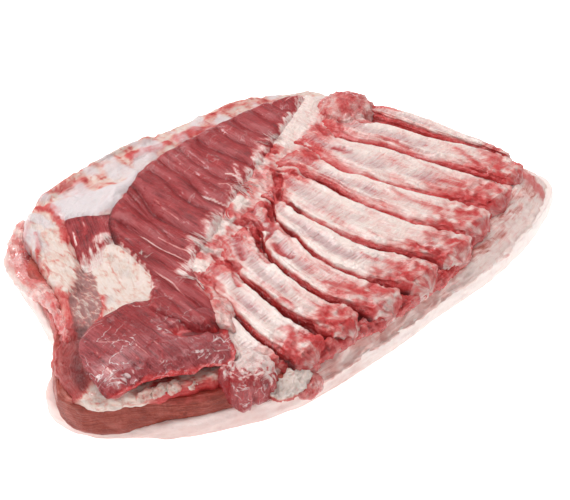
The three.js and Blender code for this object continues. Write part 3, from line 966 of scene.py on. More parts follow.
PALE_BANDS = [
    (5, 0.9, (-65, 77), (-67, 59), (-70, 36), (-74, 13), (-71, -3)),
    (6, 0.8, (-47, 72), (-47, 48), (-47, 6)), (4, 0.6, (-77, 34), (-75, 23), (-73, 9), (-72, -6)),
    (6, 0.7, (-26, 84), (-24, 60), (-28, 40), (-26, 14)), (5, 0.7, (2, 88), (-4, 64), (-2, 40)),
    (5, 0.6, (70, 90), (68, 72), (72, 56)), (6, 0.6, (-110, -10), (-112, -30), (-114, -48)),
    (5, 0.7, (40, 86), (40, 66), (42, 52)), (7, 0.7, (90, 80), (84, 70), (80, 60)),
    (5, 0.6, (18, 80), (22, 60), (22, 40)),
]
WHITE_LINES = [
    (1.0, 0.75, (-85, 48), (-83, 34), (-83, 20), (-81, 6), (-80, -10), (-83, -24)),
    (1.0, 0.85, (-24, 41), (-22, 31), (-19, 17), (-22, 8)),
    (0.9, 0.7, (-8, 40), (-5, 35), (-5, 30), (-11, 26)), (1.1, 0.8, (4, 45), (8, 36), (4, 24)),
    (0.9, 0.6, (-78, 26), (-76, 10), (-74, -6)), (0.9, 0.5, (-51, 60), (-55, 45), (-56, 30)),
    (0.9, 0.6, (112, 92), (104, 91), (96, 88)), (1.0, 0.6, (124, 80), (114, 82), (106, 82)),
    (0.8, 0.5, (-104, 2), (-104, -16), (-108, -32)),
]
FASCIA = [
    (7, 0.9, (-52, 2), (-42, 12), (-30, 16)), (6, 0.9, (-24, 10), (-14, 20), (-2, 26)),
    (7, 1.0, (-64, 7), (-63, -2), (-62, -12), (-64, -20)), (6, 1.0, (-41, 9), (-45, 0), (-48, -8)),
    (6, 0.9, (-92, -13), (-84, -14), (-86, -26), (-94, -32)), (5, 0.9, (-72, 0), (-76, -10)),
    (8, 1.0, (20, 34), (12, 26), (4, 14)), (6, 1.0, (34, 40), (30, 32)), (4, 0.8, (14, 46), (8, 34)),
    (5, 0.8, (46, 50), (52, 44)), (7, 1.0, (64, 45), (84, 52), (104, 59), (120, 66)),
    (6, 1.0, (110, 66), (126, 76)), (4, 0.8, (-18, 8), (-24, 2), (-30, 2)),
    (3, 0.8, (0, 30), (-6, 20), (-12, 12)),
]
# strokes of fascia spread further along the fibres than across them
FASCIA_SPREAD = 0.75

# %% Ridged muscle


def white_bridge(x, y):
    """Where white tissue still ties the muscle to the ribs."""
    return smoothstep(-0.15, 0.3, flat_noise(x, y, 17, 73, 2) + 0.35 * smoothstep(40, 90, x))


def muscle_surface(x, y, along, inside):
    spot = plan(x, y)
    end = np.minimum(along, 1 - along)
    ribs_way = to_path(spot, MUSCLE_FRONT_EDGE)[0]
    full = rounded(inside, 8) * rounded(end, 0.03) * (0.45 + 0.55 * rounded(ribs_way, 18))
    crest = MUSCLE_TOP + 1.2 + 0.8 * noise(spot, 30, 61, 2) + 0.3 * noise(spot * (1, 0.12, 1), 5, 76, 2)
    for depth, *furrow in FURROWS:
        gap, share = to_path(spot, furrow)
        fade = smoothstep(0, 0.15, share) * smoothstep(1, 0.85, share) * 0.6 + 0.4
        crest = crest - depth * fade * (np.exp(-(gap / 6.5) ** 2) * 2.1 + np.exp(-(gap / 1.6) ** 2) * 0.9)
    low = inner_fat_top(x, y) + 0.5
    return low + (crest - low) * full


muscle, places, along, across, inside = band(
    "ridged_muscle_piece", MUSCLE_BACK_EDGE, MUSCLE_FRONT_EDGE, 170, 15, 24,
    lambda x, y: inner_fat_top(x, y) - 2, muscle_surface, 2.0,
)
spot = places * (1, 1, 0)
x, y, z = places.T
lines = strokes(spot, WHITE_LINES, 68)
drawn = [(*mark[:2], *[(a, FASCIA_SPREAD * b) for a, b in mark[2:]]) for mark in FASCIA]
fascia = strokes(spot * (1, FASCIA_SPREAD, 1), drawn, 63)
places = swell(muscle, places, 0.3 * noise(places * (1, 0.35, 1), 4, 62, 3) + 0.35 * lines
               + 0.35 * noise(places * (1, 0.1, 1), 2.4, 66, 2)
               + fascia * (0.2 + 0.5 * noise(places * (1, 0.4, 1), 2.5, 67, 2)))

# %% Stains of the ridged muscle
cut_end = smoothstep(-52, -57, y) * smoothstep(4, 1, inside + 3 * (along > 0.1))
dark_bands = strokes(spot, DARK_BANDS, 64)
pale_bands = strokes(spot, PALE_BANDS, 69)
reach = (5 + 15 * white_bridge(x, y)) * (1 - 0.45 * smoothstep(50, 75, x))
combed = noise(places * (1, 0.08, 1), 2.2, 74, 3)
rib_border = smoothstep(reach, 0.2 * reach, inside + 9 * combed)
fascia = fascia * smoothstep(-0.5, 0.15, combed)
patch_border = smoothstep(6, 1, inside + 5 * noise(places, 3, 77, 3)) * (across < 0.5) * smoothstep(48, 36, y)
patch_border = 0.9 * patch_border * smoothstep(-20, -12, y)
rib_border = 0.9 * rib_border * white_bridge(x, y) * (across > 0.5) * smoothstep(-106, -88, x)
# painted shade in each furrow and beside it, and painted light on the flank past it
painted_furrow_shade, painted_flank_light = 0, 0
for depth, *furrow in FURROWS:
    gap = to_path(spot, furrow)[0]
    line = np.asarray(furrow)[::-1]
    beyond = smoothstep(-1, 1, x - np.interp(y, line[:, 1], line[:, 0]))
    shade = 0.26 * np.exp(-(gap / 5) ** 2) * (1 - beyond) + 0.24 * np.exp(-(gap / 1.5) ** 2)
    painted_furrow_shade = np.maximum(painted_furrow_shade, depth * shade)
    painted_flank_light = np.maximum(painted_flank_light, 0.4 * depth * np.exp(-((gap - 3.5) / 3) ** 2) * beyond)
specks = smoothstep(0.7, 0.8, noise(places, 1.7, 70)) * smoothstep(0.1, 0.5, noise(places, 25, 71))
whites = np.maximum.reduce([fascia, lines, 1.05 * rib_border, patch_border, 0.7 * specks])
stain(muscle, np.column_stack([x - 0.04 * y, y, z]),
      fat=whites + 0.12 * noise(places * (1, 0.1, 1), 3, 75, 3) + 0.2 * painted_flank_light,
      film=(0.3 + 0.3 * pale_bands - 0.3 * dark_bands + 0.15 * noise(places * (1, 0.2, 1), 7, 65, 3)
            - 0.5 * painted_furrow_shade + 0.9 * painted_flank_light) * (1 - whites),
      blood=0.05 + 0.8 * cut_end,
      deep=0.12 * dark_bands + 0.6 * np.clip(painted_furrow_shade, 0, 1) * (1 - whites)
      # painted shade along the back edge, and in the groove beside the slip
      + 0.25 * smoothstep(4, 0.5, inside) * (across < 0.5)
      + 0.5 * smoothstep(7, 1, inside) * (across < 0.5) * smoothstep(34, 48, y) * smoothstep(84, 72, y))
hand_over(muscle, LEAN, "inner_muscle", "ridged_muscle")

# %% [markdown]
# ## The flap
# A thick sheet of the same muscle lies loose over the flank corner. It is a small layer of its own: rounded
# at the left, and torn along the front, where its edge is thin, wavy and bright red.

# %% Outline and wet glints of the flap
FLAP_OUTLINE = [
    (-198, -60), (-190, -65), (-176, -67), (-164, -73), (-150, -82), (-138, -85), (-128, -92),
    (-119, -88), (-113, -78), (-106, -66), (-104, -52), (-116, -38), (-122, -18), (-138, -10), (-152, -9),
    (-164, -9), (-182, -18), (-192, -34),
]
FLAP_MIDDLE = np.array([-150, -50])
FLAP_GLINTS = [
    (1.2, 0.9, (-174, -23), (-172, -28), (-166, -34), (-163, -42)),
    (1.3, 1.0, (-170, -36), (-171, -41), (-172, -48)), (1.3, 1.0, (-165, -45), (-166, -51), (-167, -58)),
    (1.0, 0.8, (-180, -30), (-180, -35)), (1.0, 0.8, (-182, -38), (-178, -37), (-175, -36)),
    (1.4, 1.0, (-184, -48), (-185, -54), (-185, -60)), (1.6, 0.9, (-135, -43), (-135, -49), (-135, -55)),
    (1.2, 0.7, (-150, -50), (-151, -58), (-156, -64)), (1.4, 0.8, (-130, -42), (-129, -47), (-131, -51)),
    (1.4, 0.8, (-140, -44), (-141, -50), (-139, -56)), (1.0, 0.8, (-158, -40), (-160, -48), (-160, -56)),
    (1.6, 0.8, (-156, -60), (-158, -66)), (1.0, 0.7, (-146, -30), (-148, -38)),
    (1.2, 0.6, (-128, -72), (-122, -76), (-116, -78)), (1.0, 0.6, (-166, -14), (-170, -20)),
    (1.0, 0.7, (-148, -66), (-144, -72)), (1.5, 0.8, (-108, -62), (-111, -70), (-116, -76)),
    (1.5, 0.8, (-114, -68), (-117, -76), (-121, -82)), (1.2, 0.8, (-176, -44), (-177, -50), (-179, -56)),
    (1.2, 0.8, (-174, -52), (-174, -58), (-176, -63)),
]

# %% Front flap


def flap_edge(x, y):
    """1 at the torn front edge, where the flap is thin, and 0 from 16 mm behind it."""
    return smoothstep(16, 0, within(plan(x, y), FLAP_OUTLINE)) * smoothstep(-48, -62, y)


def flap_top(x, y):
    spot = plan(x, y)
    crown = 1.2 * np.exp(-(((x + 168) / 26) ** 2 + ((y + 42) / 22) ** 2))
    dent = (4.5 * stroke(spot, [(-131, -53), (-122, -60), (-112, -65)], 8, 0.3, 81)
            + 1.2 * stroke(spot, [(-127, -14), (-128, -30), (-131, -44)], 5, 0.3, 79))
    edge = flap_edge(x, y)
    return (FLAP_TOP + crown - dent + 0.9 * noise(spot * (1, 0.5, 1), 12, 71, 2)
            - 1.5 * smoothstep(-68, -90, y) - edge * (4.5 - 2.2 * noise(spot, 8, 87, 2)))


flap, places, _, depth_in, share = layer(
    "front_flap_piece", FLAP_OUTLINE, FLAP_MIDDLE, 360, 7, 10,
    [(0.05, 20, 0), (0.1, 4, 0), (0.26, 2, 0.75), (0.34, 0, 0.92), (0.42, 2.5, 1), (0.97, 40, 1)],
    lambda x, y: INNER_FAT_TOP - 2.5 + 3.5 * flap_edge(x, y), flap_top,
    lambda x, y, share: 1.4 * flat_noise(x, y, 12, 72, 3)
    + (5.0 - 7.0 * share) * smoothstep(-56, -70, y) * (0.7 + 1.2 * flat_noise(x, y, 9, 73, 3)), 2.0,
)
spot = places * (1, 1, 0)
x, y, z = places.T
torn = smoothstep(-54, -68, y) * smoothstep(4.5, 1, depth_in) * smoothstep(-110, -120, x)
glints = strokes(spot, [(0.7 * radius, *rest) for radius, *rest in FLAP_GLINTS], 79)
glints = glints * smoothstep(-0.2, 0.3, noise(places * (1, 0.4, 1), 3, 86, 2))
under = torn * smoothstep(0.9, 0.7, share)
amount = 0.3 * noise(places * (1, 0.45, 1), 4, 74, 3) + 1.3 * torn * noise(places, 5, 75, 3)
places = swell(flap, places, amount + 0.35 * glints)

# %% Stains of the flap
dark_top = smoothstep(-46, -20, y + 6 * noise(spot, 16, 84, 2)) * smoothstep(-176, -156, x)
frayed = 0.75 * torn * smoothstep(-0.1, 0.3, noise(places, 7, 76, 2)) * (1 - under)
# a painted highlight on the fold at the flap's left end
painted_tip_highlight = 0.5 * stroke(spot, [(-187, -47), (-185, -53), (-188, -60)], 5, 0.5, 80)
bleeding = 0.45 * flap_edge(x, y) * smoothstep(-0.1, 0.4, noise(places, 9, 88, 2))
cut = stroke(spot, [(-131, -54), (-122, -61), (-111, -66)], 10, 0.4, 83)
slit = stroke(spot, [(-130, -56), (-122, -62), (-113, -66)], 5, 0.4, 82)
stain(flap, np.column_stack([x - 0.04 * y, y, z]),
      fat=np.maximum.reduce([0.8 * glints, frayed, painted_tip_highlight]),
      film=(0.6 + 0.15 * noise(places * (1, 0.5, 1), 12, 78, 3) - 0.6 * dark_top - 0.9 * torn) * (1 - glints),
      blood=1.0 * torn + bleeding + 0.9 * cut,
      # painted shade under the torn edge and in the slit
      deep=0.45 * under + 0.03 * dark_top + 0.8 * slit)
hand_over(flap, FLAP_LEAN, "inner_muscle", "front_flap")

# %% [markdown]
# ## Ribs
# The ribs lie so close that what we see of the gaps is a thin dark line and, behind it, the wall of the next
# rib. So the gaps are what is drawn: each is a line with a width, and a rib fills the room between two gaps.
# Lower down a rib widens until it meets its neighbour, which closes every gap at its foot.

# %% The gaps: x, y and width
LINE_POINTS = 200
RIB_GAPS = [
    [(-104, -44, 0), (-103, -54, 0), (-107, -64, 0), (-112, -72, 0), (-117, -80, 0), (-116, -89, 0),
     (-110, -98, 0), (-107, -106, 0)],
    [(-88, -22, 1), (-90, -30, 2), (-93, -38, 3), (-95, -50, 4), (-97, -66, 3), (-98, -80, 2),
     (-99, -90, 2), (-99, -102, 3), (-99, -115, 5)],
    [(-64, -12, 1.5), (-66, -20, 1.5), (-66, -28, 1), (-69, -44, 2), (-71, -57, 4), (-72, -70, 4),
     (-73, -84, 4), (-72, -97, 6), (-70, -120, 9)],
    [(-27, 3, 1.5), (-23, -3, 2), (-24, -9, 1.5), (-29, -18, 1.5), (-36, -28, 1.5), (-40, -42, 1.5),
     (-44, -56, 2.5), (-45, -72, 3), (-45, -85, 3), (-42, -96, 2.5), (-36, -116, 5), (-34, -126, 7)],
    [(4, 10, 1), (3, 3, 2), (-4, -7, 1.5), (-9, -16, 1), (-11, -34, 1.5), (-16, -50, 1.5),
     (-18, -63, 1.2), (-16, -80, 1), (-13, -94, 1.5), (-8, -106, 4), (3, -126, 7)],
    [(32, 21, 2), (21, 12, 2), (14, 4, 2), (10, -4, 2), (9, -28, 1.5), (11, -46, 1), (13, -64, 1.5),
     (16, -79, 4), (22, -91, 5), (30, -106, 5.5), (40, -126, 6)],
    [(37, 27, 2), (42, 20, 3), (44, 12, 4), (45, 0, 5), (47, -14, 5), (47, -28, 4), (50, -46, 1.5),
     (55, -68, 1), (60, -86, 1.5), (68, -102, 2.5), (79, -124, 4)],
    [(68, 42, 1), (71, 32, 2), (72, 24, 2), (68, 2, 4), (68, -13, 4), (75, -24, 1), (80, -40, 1.2),
     (87, -58, 1.8), (95, -76, 3), (103, -92, 4), (112, -118, 4)],
    [(108, 50, 2), (103, 40, 3), (101, 26, 6), (106, 8, 7), (114, -4, 6), (121, -20, 4), (125, -40, 5),
     (130, -54, 7), (134, -68, 8), (140, -88, 9), (147, -106, 7)],
    [(136, 42, 7), (138, 32, 9), (141, 16, 10), (146, 2, 9), (151, -16, 8), (155, -28, 6.5),
     (161, -40, 5), (168, -56, 3), (174, -72, 1), (176, -90, 1)],
    [(155, 40, 0), (157, 34, 0), (166, 12, 0), (172, -10, 0), (175, -30, 0), (178, -50, 0), (180, -70, 0),
     (181, -90, 0)],
]

# %% The ribs, and what is drawn on them
RIBS = [
    # y at the root, y at the cut end, and how much lower it lies
    (-40, -102, 3), (-20, -113, 0), (-8, -114, 0), (4, -119, 0), (10, -121, 0), (20, -120, 0),
    (32, -112, 0), (42, -105, 1), (48, -95, 2), (40, -80, 2),
]
RIB_DEPTH = 25
ROOT_CAP = 6
END_CAP = 14
ON_RIBS_RED = [
    (6, 0.8, (155, 38), (160, 26), (165, 13)), (4, 0.9, (-84, -92), (-80, -96), (-84, -101), (-90, -103)),
    (5, 1.0, (-80, -108), (-74, -111), (-76, -116)), (4, 0.9, (-92, -104), (-92, -112), (-92, -118)),
    (3, 0.9, (-67, -72), (-64, -78), (-65, -84)),
    (3.5, 1.0, (-32, -83), (-28, -90), (-25, -97), (-22, -106)),
    (2.5, 1.0, (6, -81), (7, -88), (10, -92)), (3, 0.8, (12, -96), (14, -106), (12, -114)),
    (3, 0.8, (-14, -104), (-12, -112), (-8, -118)), (2.5, 0.8, (40, -92), (42, -104), (46, -114)),
    (4, 0.7, (57, -114), (64, -115), (66, -120)), (3.5, 0.8, (77, -49), (76, -60), (78, -72), (84, -86)),
    (2.5, 0.7, (88, -92), (94, -104)), (2.5, 0.6, (112, -60), (120, -84)),
    (2.5, 0.5, (104, -50), (108, -66)), (4, 0.7, (155, -50), (153, -62), (151, -72)),
    (5, 0.6, (168, -62), (166, -76), (160, -84)), (4, 0.9, (88, 14), (88, 6), (93, 2)),
    (2.5, 0.6, (124, 3), (128, -5), (131, -12)), (2, 0.5, (-52, -72), (-53, -88), (-50, -100)),
    (3, 0.9, (-60, -104), (-54, -112), (-46, -117)), (2, 0.5, (-4, -66), (-3, -82)),
    (2.5, 0.5, (28, -72), (32, -84)), (2, 0.5, (62, -30), (66, -44)),
]
ON_RIBS_BONE = [
    (6, 1.0, (-5, -38), (-2, -50), (-4, -63), (-3, -76)), (5, 0.9, (13, -91), (16, -99), (20, -108)),
    (6, 0.9, (20, -22), (23, -32), (23, -42), (25, -54)), (6, 0.8, (52, -2), (55, -14), (57, -26)),
    (6, 0.8, (87, -4), (88, -15), (93, -25)), (5, 0.7, (132, -24), (133, -34), (138, -43)),
    (5, 0.8, (-63, -43), (-61, -52), (-64, -60)), (4, 0.6, (-58, -70), (-56, -84)),
    (5, 0.7, (-32, -60), (-34, -72), (-32, -82)), (4, 0.7, (100, -40), (106, -56), (112, -72)),
    (5, 0.6, (44, -50), (48, -62)), (4, 0.5, (70, -70), (76, -84)), (5, 0.6, (-84, -58), (-84, -70)),
    (5, 0.6, (142, -50), (144, -64)), (4, 0.5, (116, -20), (120, -36)),
]
ROOT_RED = [
    (2.5, 1, (31, 22), (20, 7), (3, -2), (-18, -22), (-32, -27), (-41, -33)),
    (4, 1, (-27, 3), (-23, -3), (-20, -9), (-22, -17), (-16, -22)), (4, 1, (3, 3), (-4, -7), (-12, -12)),
    (4, 1, (-24, -9), (-29, -20), (-38, -29)), (3, 1, (-64, -14), (-66, -21), (-68, -25)),
    (4, 1, (-65, -24), (-62, -28), (-62, -33)), (5, 1, (-29, -36), (-31, -43), (-30, -49)),
    (4, 0.9, (21, 12), (14, 4), (7, -1)), (4, 0.9, (35, 27), (42, 20), (43, 10)),
    (4, 0.9, (33, 21), (29, 15), (21, 12)), (7, 0.8, (72, 28), (68, 18), (62, 16)),
    (4, 0.9, (108, 48), (102, 40), (98, 29)), (3, 0.7, (50, 46), (54, 42)),
    (5, 0.7, (-84, -23), (-84, -31), (-86, -42)), (4, 0.8, (-96, -42), (-92, -34)),
    (3, 0.8, (-48, -20), (-54, -30)), (3, 0.7, (-9, 8), (-12, 2)), (3, 0.7, (-39, -7), (-40, -13)),
    (3, 0.7, (118, 36), (112, 28)), (4, 0.8, (-70, -38), (-74, -46)), (4, 0.8, (-42, -36), (-44, -44)),
    (4, 0.8, (-12, -24), (-14, -36)), (4, 0.9, (12, -10), (9, -22)), (4, 0.8, (44, 6), (46, -4)),
    (4, 0.9, (88, 14), (92, 8)), (4, 0.8, (132, 24), (138, 18)),
]

# %% The form of a rib


def squarish(angle, power):
    """A circle with fuller corners."""
    c, s = np.cos(angle), np.sin(angle)
    return np.sign(c) * np.abs(c) ** (2 / power), np.sign(s) * np.abs(s) ** (2 / power)


def capped(level, hub, length, first_cap, last_cap):
    """Lays a drum's rows along a length, with a round cap past each end.

    Gives the share along the length, the shares past its start and its end, and how full the bar is there.
    """
    reach = level * (length + first_cap + last_cap) - first_cap
    past_start = np.clip(-reach / first_cap, 0, 1)
    past_end = np.clip((reach - length) / last_cap, 0, 1)
    full = np.sqrt(1 - np.maximum(past_start, past_end) ** 2)
    full[hub] = 0
    return np.clip(reach / length, 0, 1), past_start, past_end, full


def rib_seed(index):
    return 100 + 11 * index


def rib_form(index, start, finish, lower):
    """One rib between its two gaps, from y = start to y = finish, lying lower by that much.

    Gives the piece, its places, how far along it they are and how far past its cut end, their y before
    the ends were rounded, half the rib's width, where they lie round it, and how full it is there.
    """
    seed = rib_seed(index)
    piece, turn, level, hub = drum(f"rib_{index + 1:02d}_piece", 110, 10, 13)
    first = spaced(RIB_GAPS[index], LINE_POINTS)
    last = spaced(RIB_GAPS[index + 1], LINE_POINTS)
    length = start - finish
    along, over_root, over_end, full = capped(level, hub, length, ROOT_CAP, END_CAP)
    full *= 1 - 0.12 * smoothstep(0.2, 0.02, along)
    way = start - along * length
    left, _, gap = read_off(-way, -first[:, 1], first).T
    right, _, _ = read_off(-way, -last[:, 1], last).T
    c, s = squarish(turn * 2 * np.pi, 3.6)
    left = left + 1.6 * flat_noise(0 * way + 50 * index, way, 9, seed + 10, 3)
    right = right + 1.6 * flat_noise(0 * way, way, 9, seed + 21, 3)
    middle = (left + gap + right) / 2
    half = (right - left - gap) / 2
    foot = smoothstep(0.45, -0.2, s)
    x = middle + c * half * full - (c < 0) * foot * (gap + 0.6) * full
    crown = RIB_TOP - lower - RIB_DROP * along**1.5
    z = crown - RIB_DEPTH / 2 + RIB_DEPTH / 2 * s * full
    y = way + 4 * over_root - 6.0 * (1 - np.sqrt(1 - np.minimum(over_end, 0.98) ** 2)) - 2 * over_end
    places = np.column_stack([x, y, z])
    settle(piece, places)
    return piece, places, along, over_end, way, half, c, s, full


# %% Ribs


def make_rib(index, start, finish, lower):
    """A finished rib: its rims, its hollow, the red between the ribs, and its torn root and end."""
    seed = rib_seed(index)
    piece, places, along, over_end, way, half, c, s, full = rib_form(index, start, finish, lower)
    top = smoothstep(0.55, 0.9, s * full)
    local = places + (0, 0, 40 * index)
    spot = places * (1, 1, 0)
    end = smoothstep(0.68, 0.95, along)
    root = smoothstep(0.26, 0.06, along + 0.05 * noise(places, 9, seed + 15, 2))
    edges = np.exp(-((np.abs(c) - 0.8) / 0.14) ** 2) * top
    hollow = np.exp(-(c / 0.42) ** 2) * top
    crack = strokes(spot, ROOT_RED, 81)
    bright = smoothstep(4, 7, index)
    sloped = top * smoothstep(-0.35, -0.85, c + 0.35 * noise(local * (1, 0.3, 1), 9, seed + 20, 2))
    runged = hollow * smoothstep(0.75, 0.3, along + 0.5 * noise(places, 30, seed + 19))
    bone = strokes(spot, ON_RIBS_BONE, 300)
    red = strokes(spot, ON_RIBS_RED, 340)
    patches = noise(local * (1, 0.35, 1), 7, seed + 6, 3)
    cross = noise(local * (0.3, 1.0, 1), 2.2, seed + 9, 2)
    amount = 1.4 * edges - 1.5 * hollow - (1.5 + 1.5 * bright) * sloped
    amount = amount + 0.7 * noise(local * (1, 0.5, 1), 8, seed + 1, 3) - 1.8 * crack
    amount += 0.25 * noise(local, 2.6, seed + 2, 2) + 0.5 * red - 0.35 * bone + 0.3 * cross * runged
    torn_off = 2.2 * noise(local, 9, seed + 3, 2) + 1.8 * folds(local, 6, seed + 4, 3) - 0.9
    amount += (end + 0.8 * root) * torn_off
    places = swell(piece, places, amount)
    face = smoothstep(0.15, 0.5, over_end)
    lumps = noise(local, 6, seed + 7, 3)
    wall = 1 - smoothstep(0.62, 0.96, s * full + 0.12 * noise(local * (1, 0.5, 1), 6, seed + 14, 2))
    torn = 0.42 + 0.5 * noise(places, 8, 85, 3) + 0.35 * (folds(spot, 9, 83, 3) - 0.5)
    broad = noise(local * (1, 0.6, 1), 22, seed + 13, 2)
    fat_mask = 0.92 + 0.32 * patches + 0.3 * broad + 0.4 * edges + 0.3 * cross * bone
    fat_mask -= 0.2 * smoothstep(0.1, 0.5, noise(local * (1, 0.12, 1), 3.5, seed + 18, 3)) * top
    clouds = smoothstep(-0.1, 0.5, noise(local * (1, 0.3, 1), 12, seed + 17, 2))
    fat_mask -= 0.3 * smoothstep(0.1, -0.5, c) * clouds
    fat_mask = fat_mask * (1 - root) + root * torn
    fat_mask = fat_mask * (1 - 0.8 * end) + end * (0.38 + 0.85 * lumps) - 0.4 * red - 0.6 * crack
    fat_mask -= (0.12 + 0.35 * bright) * sloped
    fat_mask = fat_mask * (1 - 0.95 * wall * (1 - face)) + 0.08 * bright * wall
    pearly = 0.08 + 0.3 * bone + 0.2 * hollow + 0.5 * runged + 0.3 * noise(local, 12, seed + 8, 2)
    bloody = 0.5 * red + 0.65 * crack + (0.05 + 0.3 * bright) * sloped + end * (0.5 - 0.7 * lumps)
    stain(piece, np.column_stack([c * half, way, s * RIB_DEPTH / 2]),
          fat=fat_mask,
          film=(1 - wall) * pearly - 0.3 * end,
          blood=bloody + 0.15 * root + 0.5 * bright * wall,
          # painted shade low on the sides, in the gaps, and a little on the walls; the dark of the torn
          # cracks
          deep=smoothstep(0.6 - 0.2 * bright, 0.1 - 0.3 * bright, s) * (1 - face) * 0.95
          + 0.15 * wall * (1 - face) * (1 - bright) + 0.1 * face + 0.35 * crack)
    hand_over(piece, RIB_MEAT, "rib_meat", f"rib_{index + 1:02d}")


for index, (start, finish, lower) in enumerate(RIBS):
    make_rib(index, start, finish, lower)

# %% [markdown]
# ## Gristle along the inner ends
# Between the muscle and the ribs lies torn tissue that ties them together: pale knobs, red hollows where it
# was torn, and a smooth white sheet at the shoulder end. It is one more band. Its edges dive under the muscle
# and the ribs, so that no seam shows, and its top follows its distance from the muscle.

# %% Lines and knobs of the gristle
ROOT_BACK_EDGE = [
    (-112, -50), (-97, -34), (-87, -16), (-70, -1), (-46, 7), (-16, 24), (12, 35), (36, 46), (64, 58),
    (98, 71), (130, 84),
]
ROOT_FRONT_EDGE = [
    (-106, -74), (-92, -60), (-70, -46), (-46, -40), (-20, -30), (4, -20), (32, -6), (58, 8), (86, 18),
    (114, 24), (150, 34),
]
ROOT_KNOBS = [
    # x, y, radius, height and how red
    (-7, -2, 8, 3.5, 0.1), (17, -8, 8, 3, 0), (48, 0, 8, 3, 0.5), (45, 16, 8, 4, 0),
    (70, 22, 9, 4.5, 0.2), (100, 38, 10, 4, 0.6), (-35, -13, 9, 3, 0.1), (-31, -38, 8, 3, 0.2),
    (-65, -27, 6, 3, 0.6), (-58, -36, 8, 3, 0), (23, 10, 6, 2.5, 0.3), (34, 26, 6, 3, 0.2),
    (-84, -34, 7, 3, 0), (122, 52, 8, 3, 0.1), (-98, -50, 6, 2, 0.2),
]

# %% Rib roots


def past_muscle(x, y):
    """How far a place lies outside the ridged muscle."""
    return -within(plan(x, y), MUSCLE_BACK_EDGE[1:-1] + MUSCLE_FRONT_EDGE[:0:-1])


def white_sheet(x, y):
    """1 on the smooth white sheet beside the muscle's shoulder end."""
    return smoothstep(56, 80, x) * smoothstep(15, 8, past_muscle(x, y) + 3 * flat_noise(x, y, 8, 89, 3))


def root_surface(x, y, along, inside):
    spot = plan(x, y)
    rough = 1.2 * noise(spot, 13, 82, 2) + 1.4 * (folds(spot, 9, 83, 3) - 0.4)
    rough = rough * (1 - 0.75 * white_sheet(x, y))
    beyond = past_muscle(x, y)
    lower = np.interp(x, [88, 120, 146], [0, 2, 4])
    top = 46.5 - 2.5 * smoothstep(-2, 14, beyond) - lower * smoothstep(2, 16, beyond)
    top = top - 3 * smoothstep(16, 30, beyond)
    for knob_x, knob_y, radius, height, _ in ROOT_KNOBS:
        top = top + height * bump(x, y, (knob_x, knob_y), 0.75 * radius)
    return top + rough * smoothstep(0, 8, inside) - 2.5 * smoothstep(3.5, 0, inside)


roots, places, _, across, inside = band(
    "rib_roots_piece", ROOT_BACK_EDGE, ROOT_FRONT_EDGE, 90, 15, 20,
    lambda x, y: 30 + 0 * x, root_surface, 4.5,
)
spot = places * (1, 1, 0)
red = strokes(spot, ROOT_RED, 81)
crests = folds(spot, 9, 83, 3)
amount = 0.9 * noise(places * (1, 0.6, 1), 3.4, 84, 3) - 1.6 * red
sheet = white_sheet(places[:, 0], places[:, 1])
places = swell(roots, places, amount * smoothstep(0, 6, inside) * (1 - 0.7 * sheet))

# %% Stains of the rib roots
x, y, z = places.T
bridge = white_bridge(x, y)
back = smoothstep(0.42, 0.12, across + 0.15 * noise(places, 9, 88, 2))
ruddy = sum(share * bump(x, y, middle, radius) for *middle, radius, _, share in ROOT_KNOBS)
lumps = noise(places, 8, 85, 3)
feather = noise(places * (1, 0.22, 1), 2.6, 87, 3)
stain(roots, np.column_stack([x + 0.3 * y, y, z]),
      fat=((0.6 + 0.3 * lumps + 0.2 * crests) * (1 - back) + back * (0.2 + 0.85 * bridge) + 0.3 * feather
           - 0.8 * red - ruddy) * (1 - sheet) + (1.0 + 0.3 * feather) * sheet,
      film=(0.3 + 0.4 * noise(places, 12, 84, 2)) * (1 - back * bridge) * (1 - sheet),
      blood=(0.65 * red + 0.8 * ruddy - 0.3 * lumps + 0.2 * (1 - bridge)) * (1 - sheet),
      # painted shade in the hollows between the crests, and the dark of the red tears
      deep=(0.4 * smoothstep(0.4, 0.05, crests) + 0.5 * red * smoothstep(0.0, 0.4, noise(places, 4, 86, 2)))
      * (1 - 0.9 * sheet))
hand_over(roots, GRISTLE, "gristle", "rib_roots")

# %% [markdown]
# ## The slip of muscle
# A thin slip of the same muscle lies beside the ridged one, over the inner fat. It is a small layer, and
# white tissue is combed over its lower end.

# %% Slip of muscle
SLIP_OUTLINE = [
    (-78, 72), (-88, 82), (-99, 89), (-107, 91), (-115, 76), (-122, 60), (-128, 46), (-126, 34),
    (-116, 32), (-104, 34), (-94, 44), (-87, 57), (-81, 65),
]
SLIP_MIDDLE = np.array([-104, 66])
slip, places, _, depth_in, _ = layer(
    "muscle_slip_piece", SLIP_OUTLINE, SLIP_MIDDLE, 200, 6, 8,
    [(0.05, 12, 0), (0.1, 1, 0), (0.24, 0, 0.55), (0.34, 0.7, 0.85), (0.44, 3, 1), (0.97, 30, 1)],
    lambda x, y: INNER_FAT_TOP - 3 + 0 * x,
    lambda x, y: 46.5 - 8.5 * smoothstep(64, 36, y) ** 1.4,
    lambda x, y, share: 1.2 * flat_noise(x, y, 9, 90, 3), 1.0,
)
spot = places * (1, 1, 0)
frost = strokes(spot, [(9, 1, (-98, 46), (-106, 45), (-116, 44)), (6, 0.9, (-98, 56), (-106, 57)),
                       (1.2, 0.8, (-112, 74), (-119, 62)), (1.2, 0.7, (-100, 78), (-108, 66))], 96)
combed = noise((places + places[:, [1, 0, 2]] * (-0.5, 0, 0)) * (1, 0.12, 1), 2.6, 97, 3)
frost = np.maximum(frost * (0.85 + 0.6 * combed), smoothstep(56, 45, places[:, 1] + 12 * combed))
places = swell(slip, places, 0.7 * noise(places, 10, 91, 3) + 0.3 * noise(places * (1, 0.3, 1), 3, 92, 2))
x, y, z = places.T
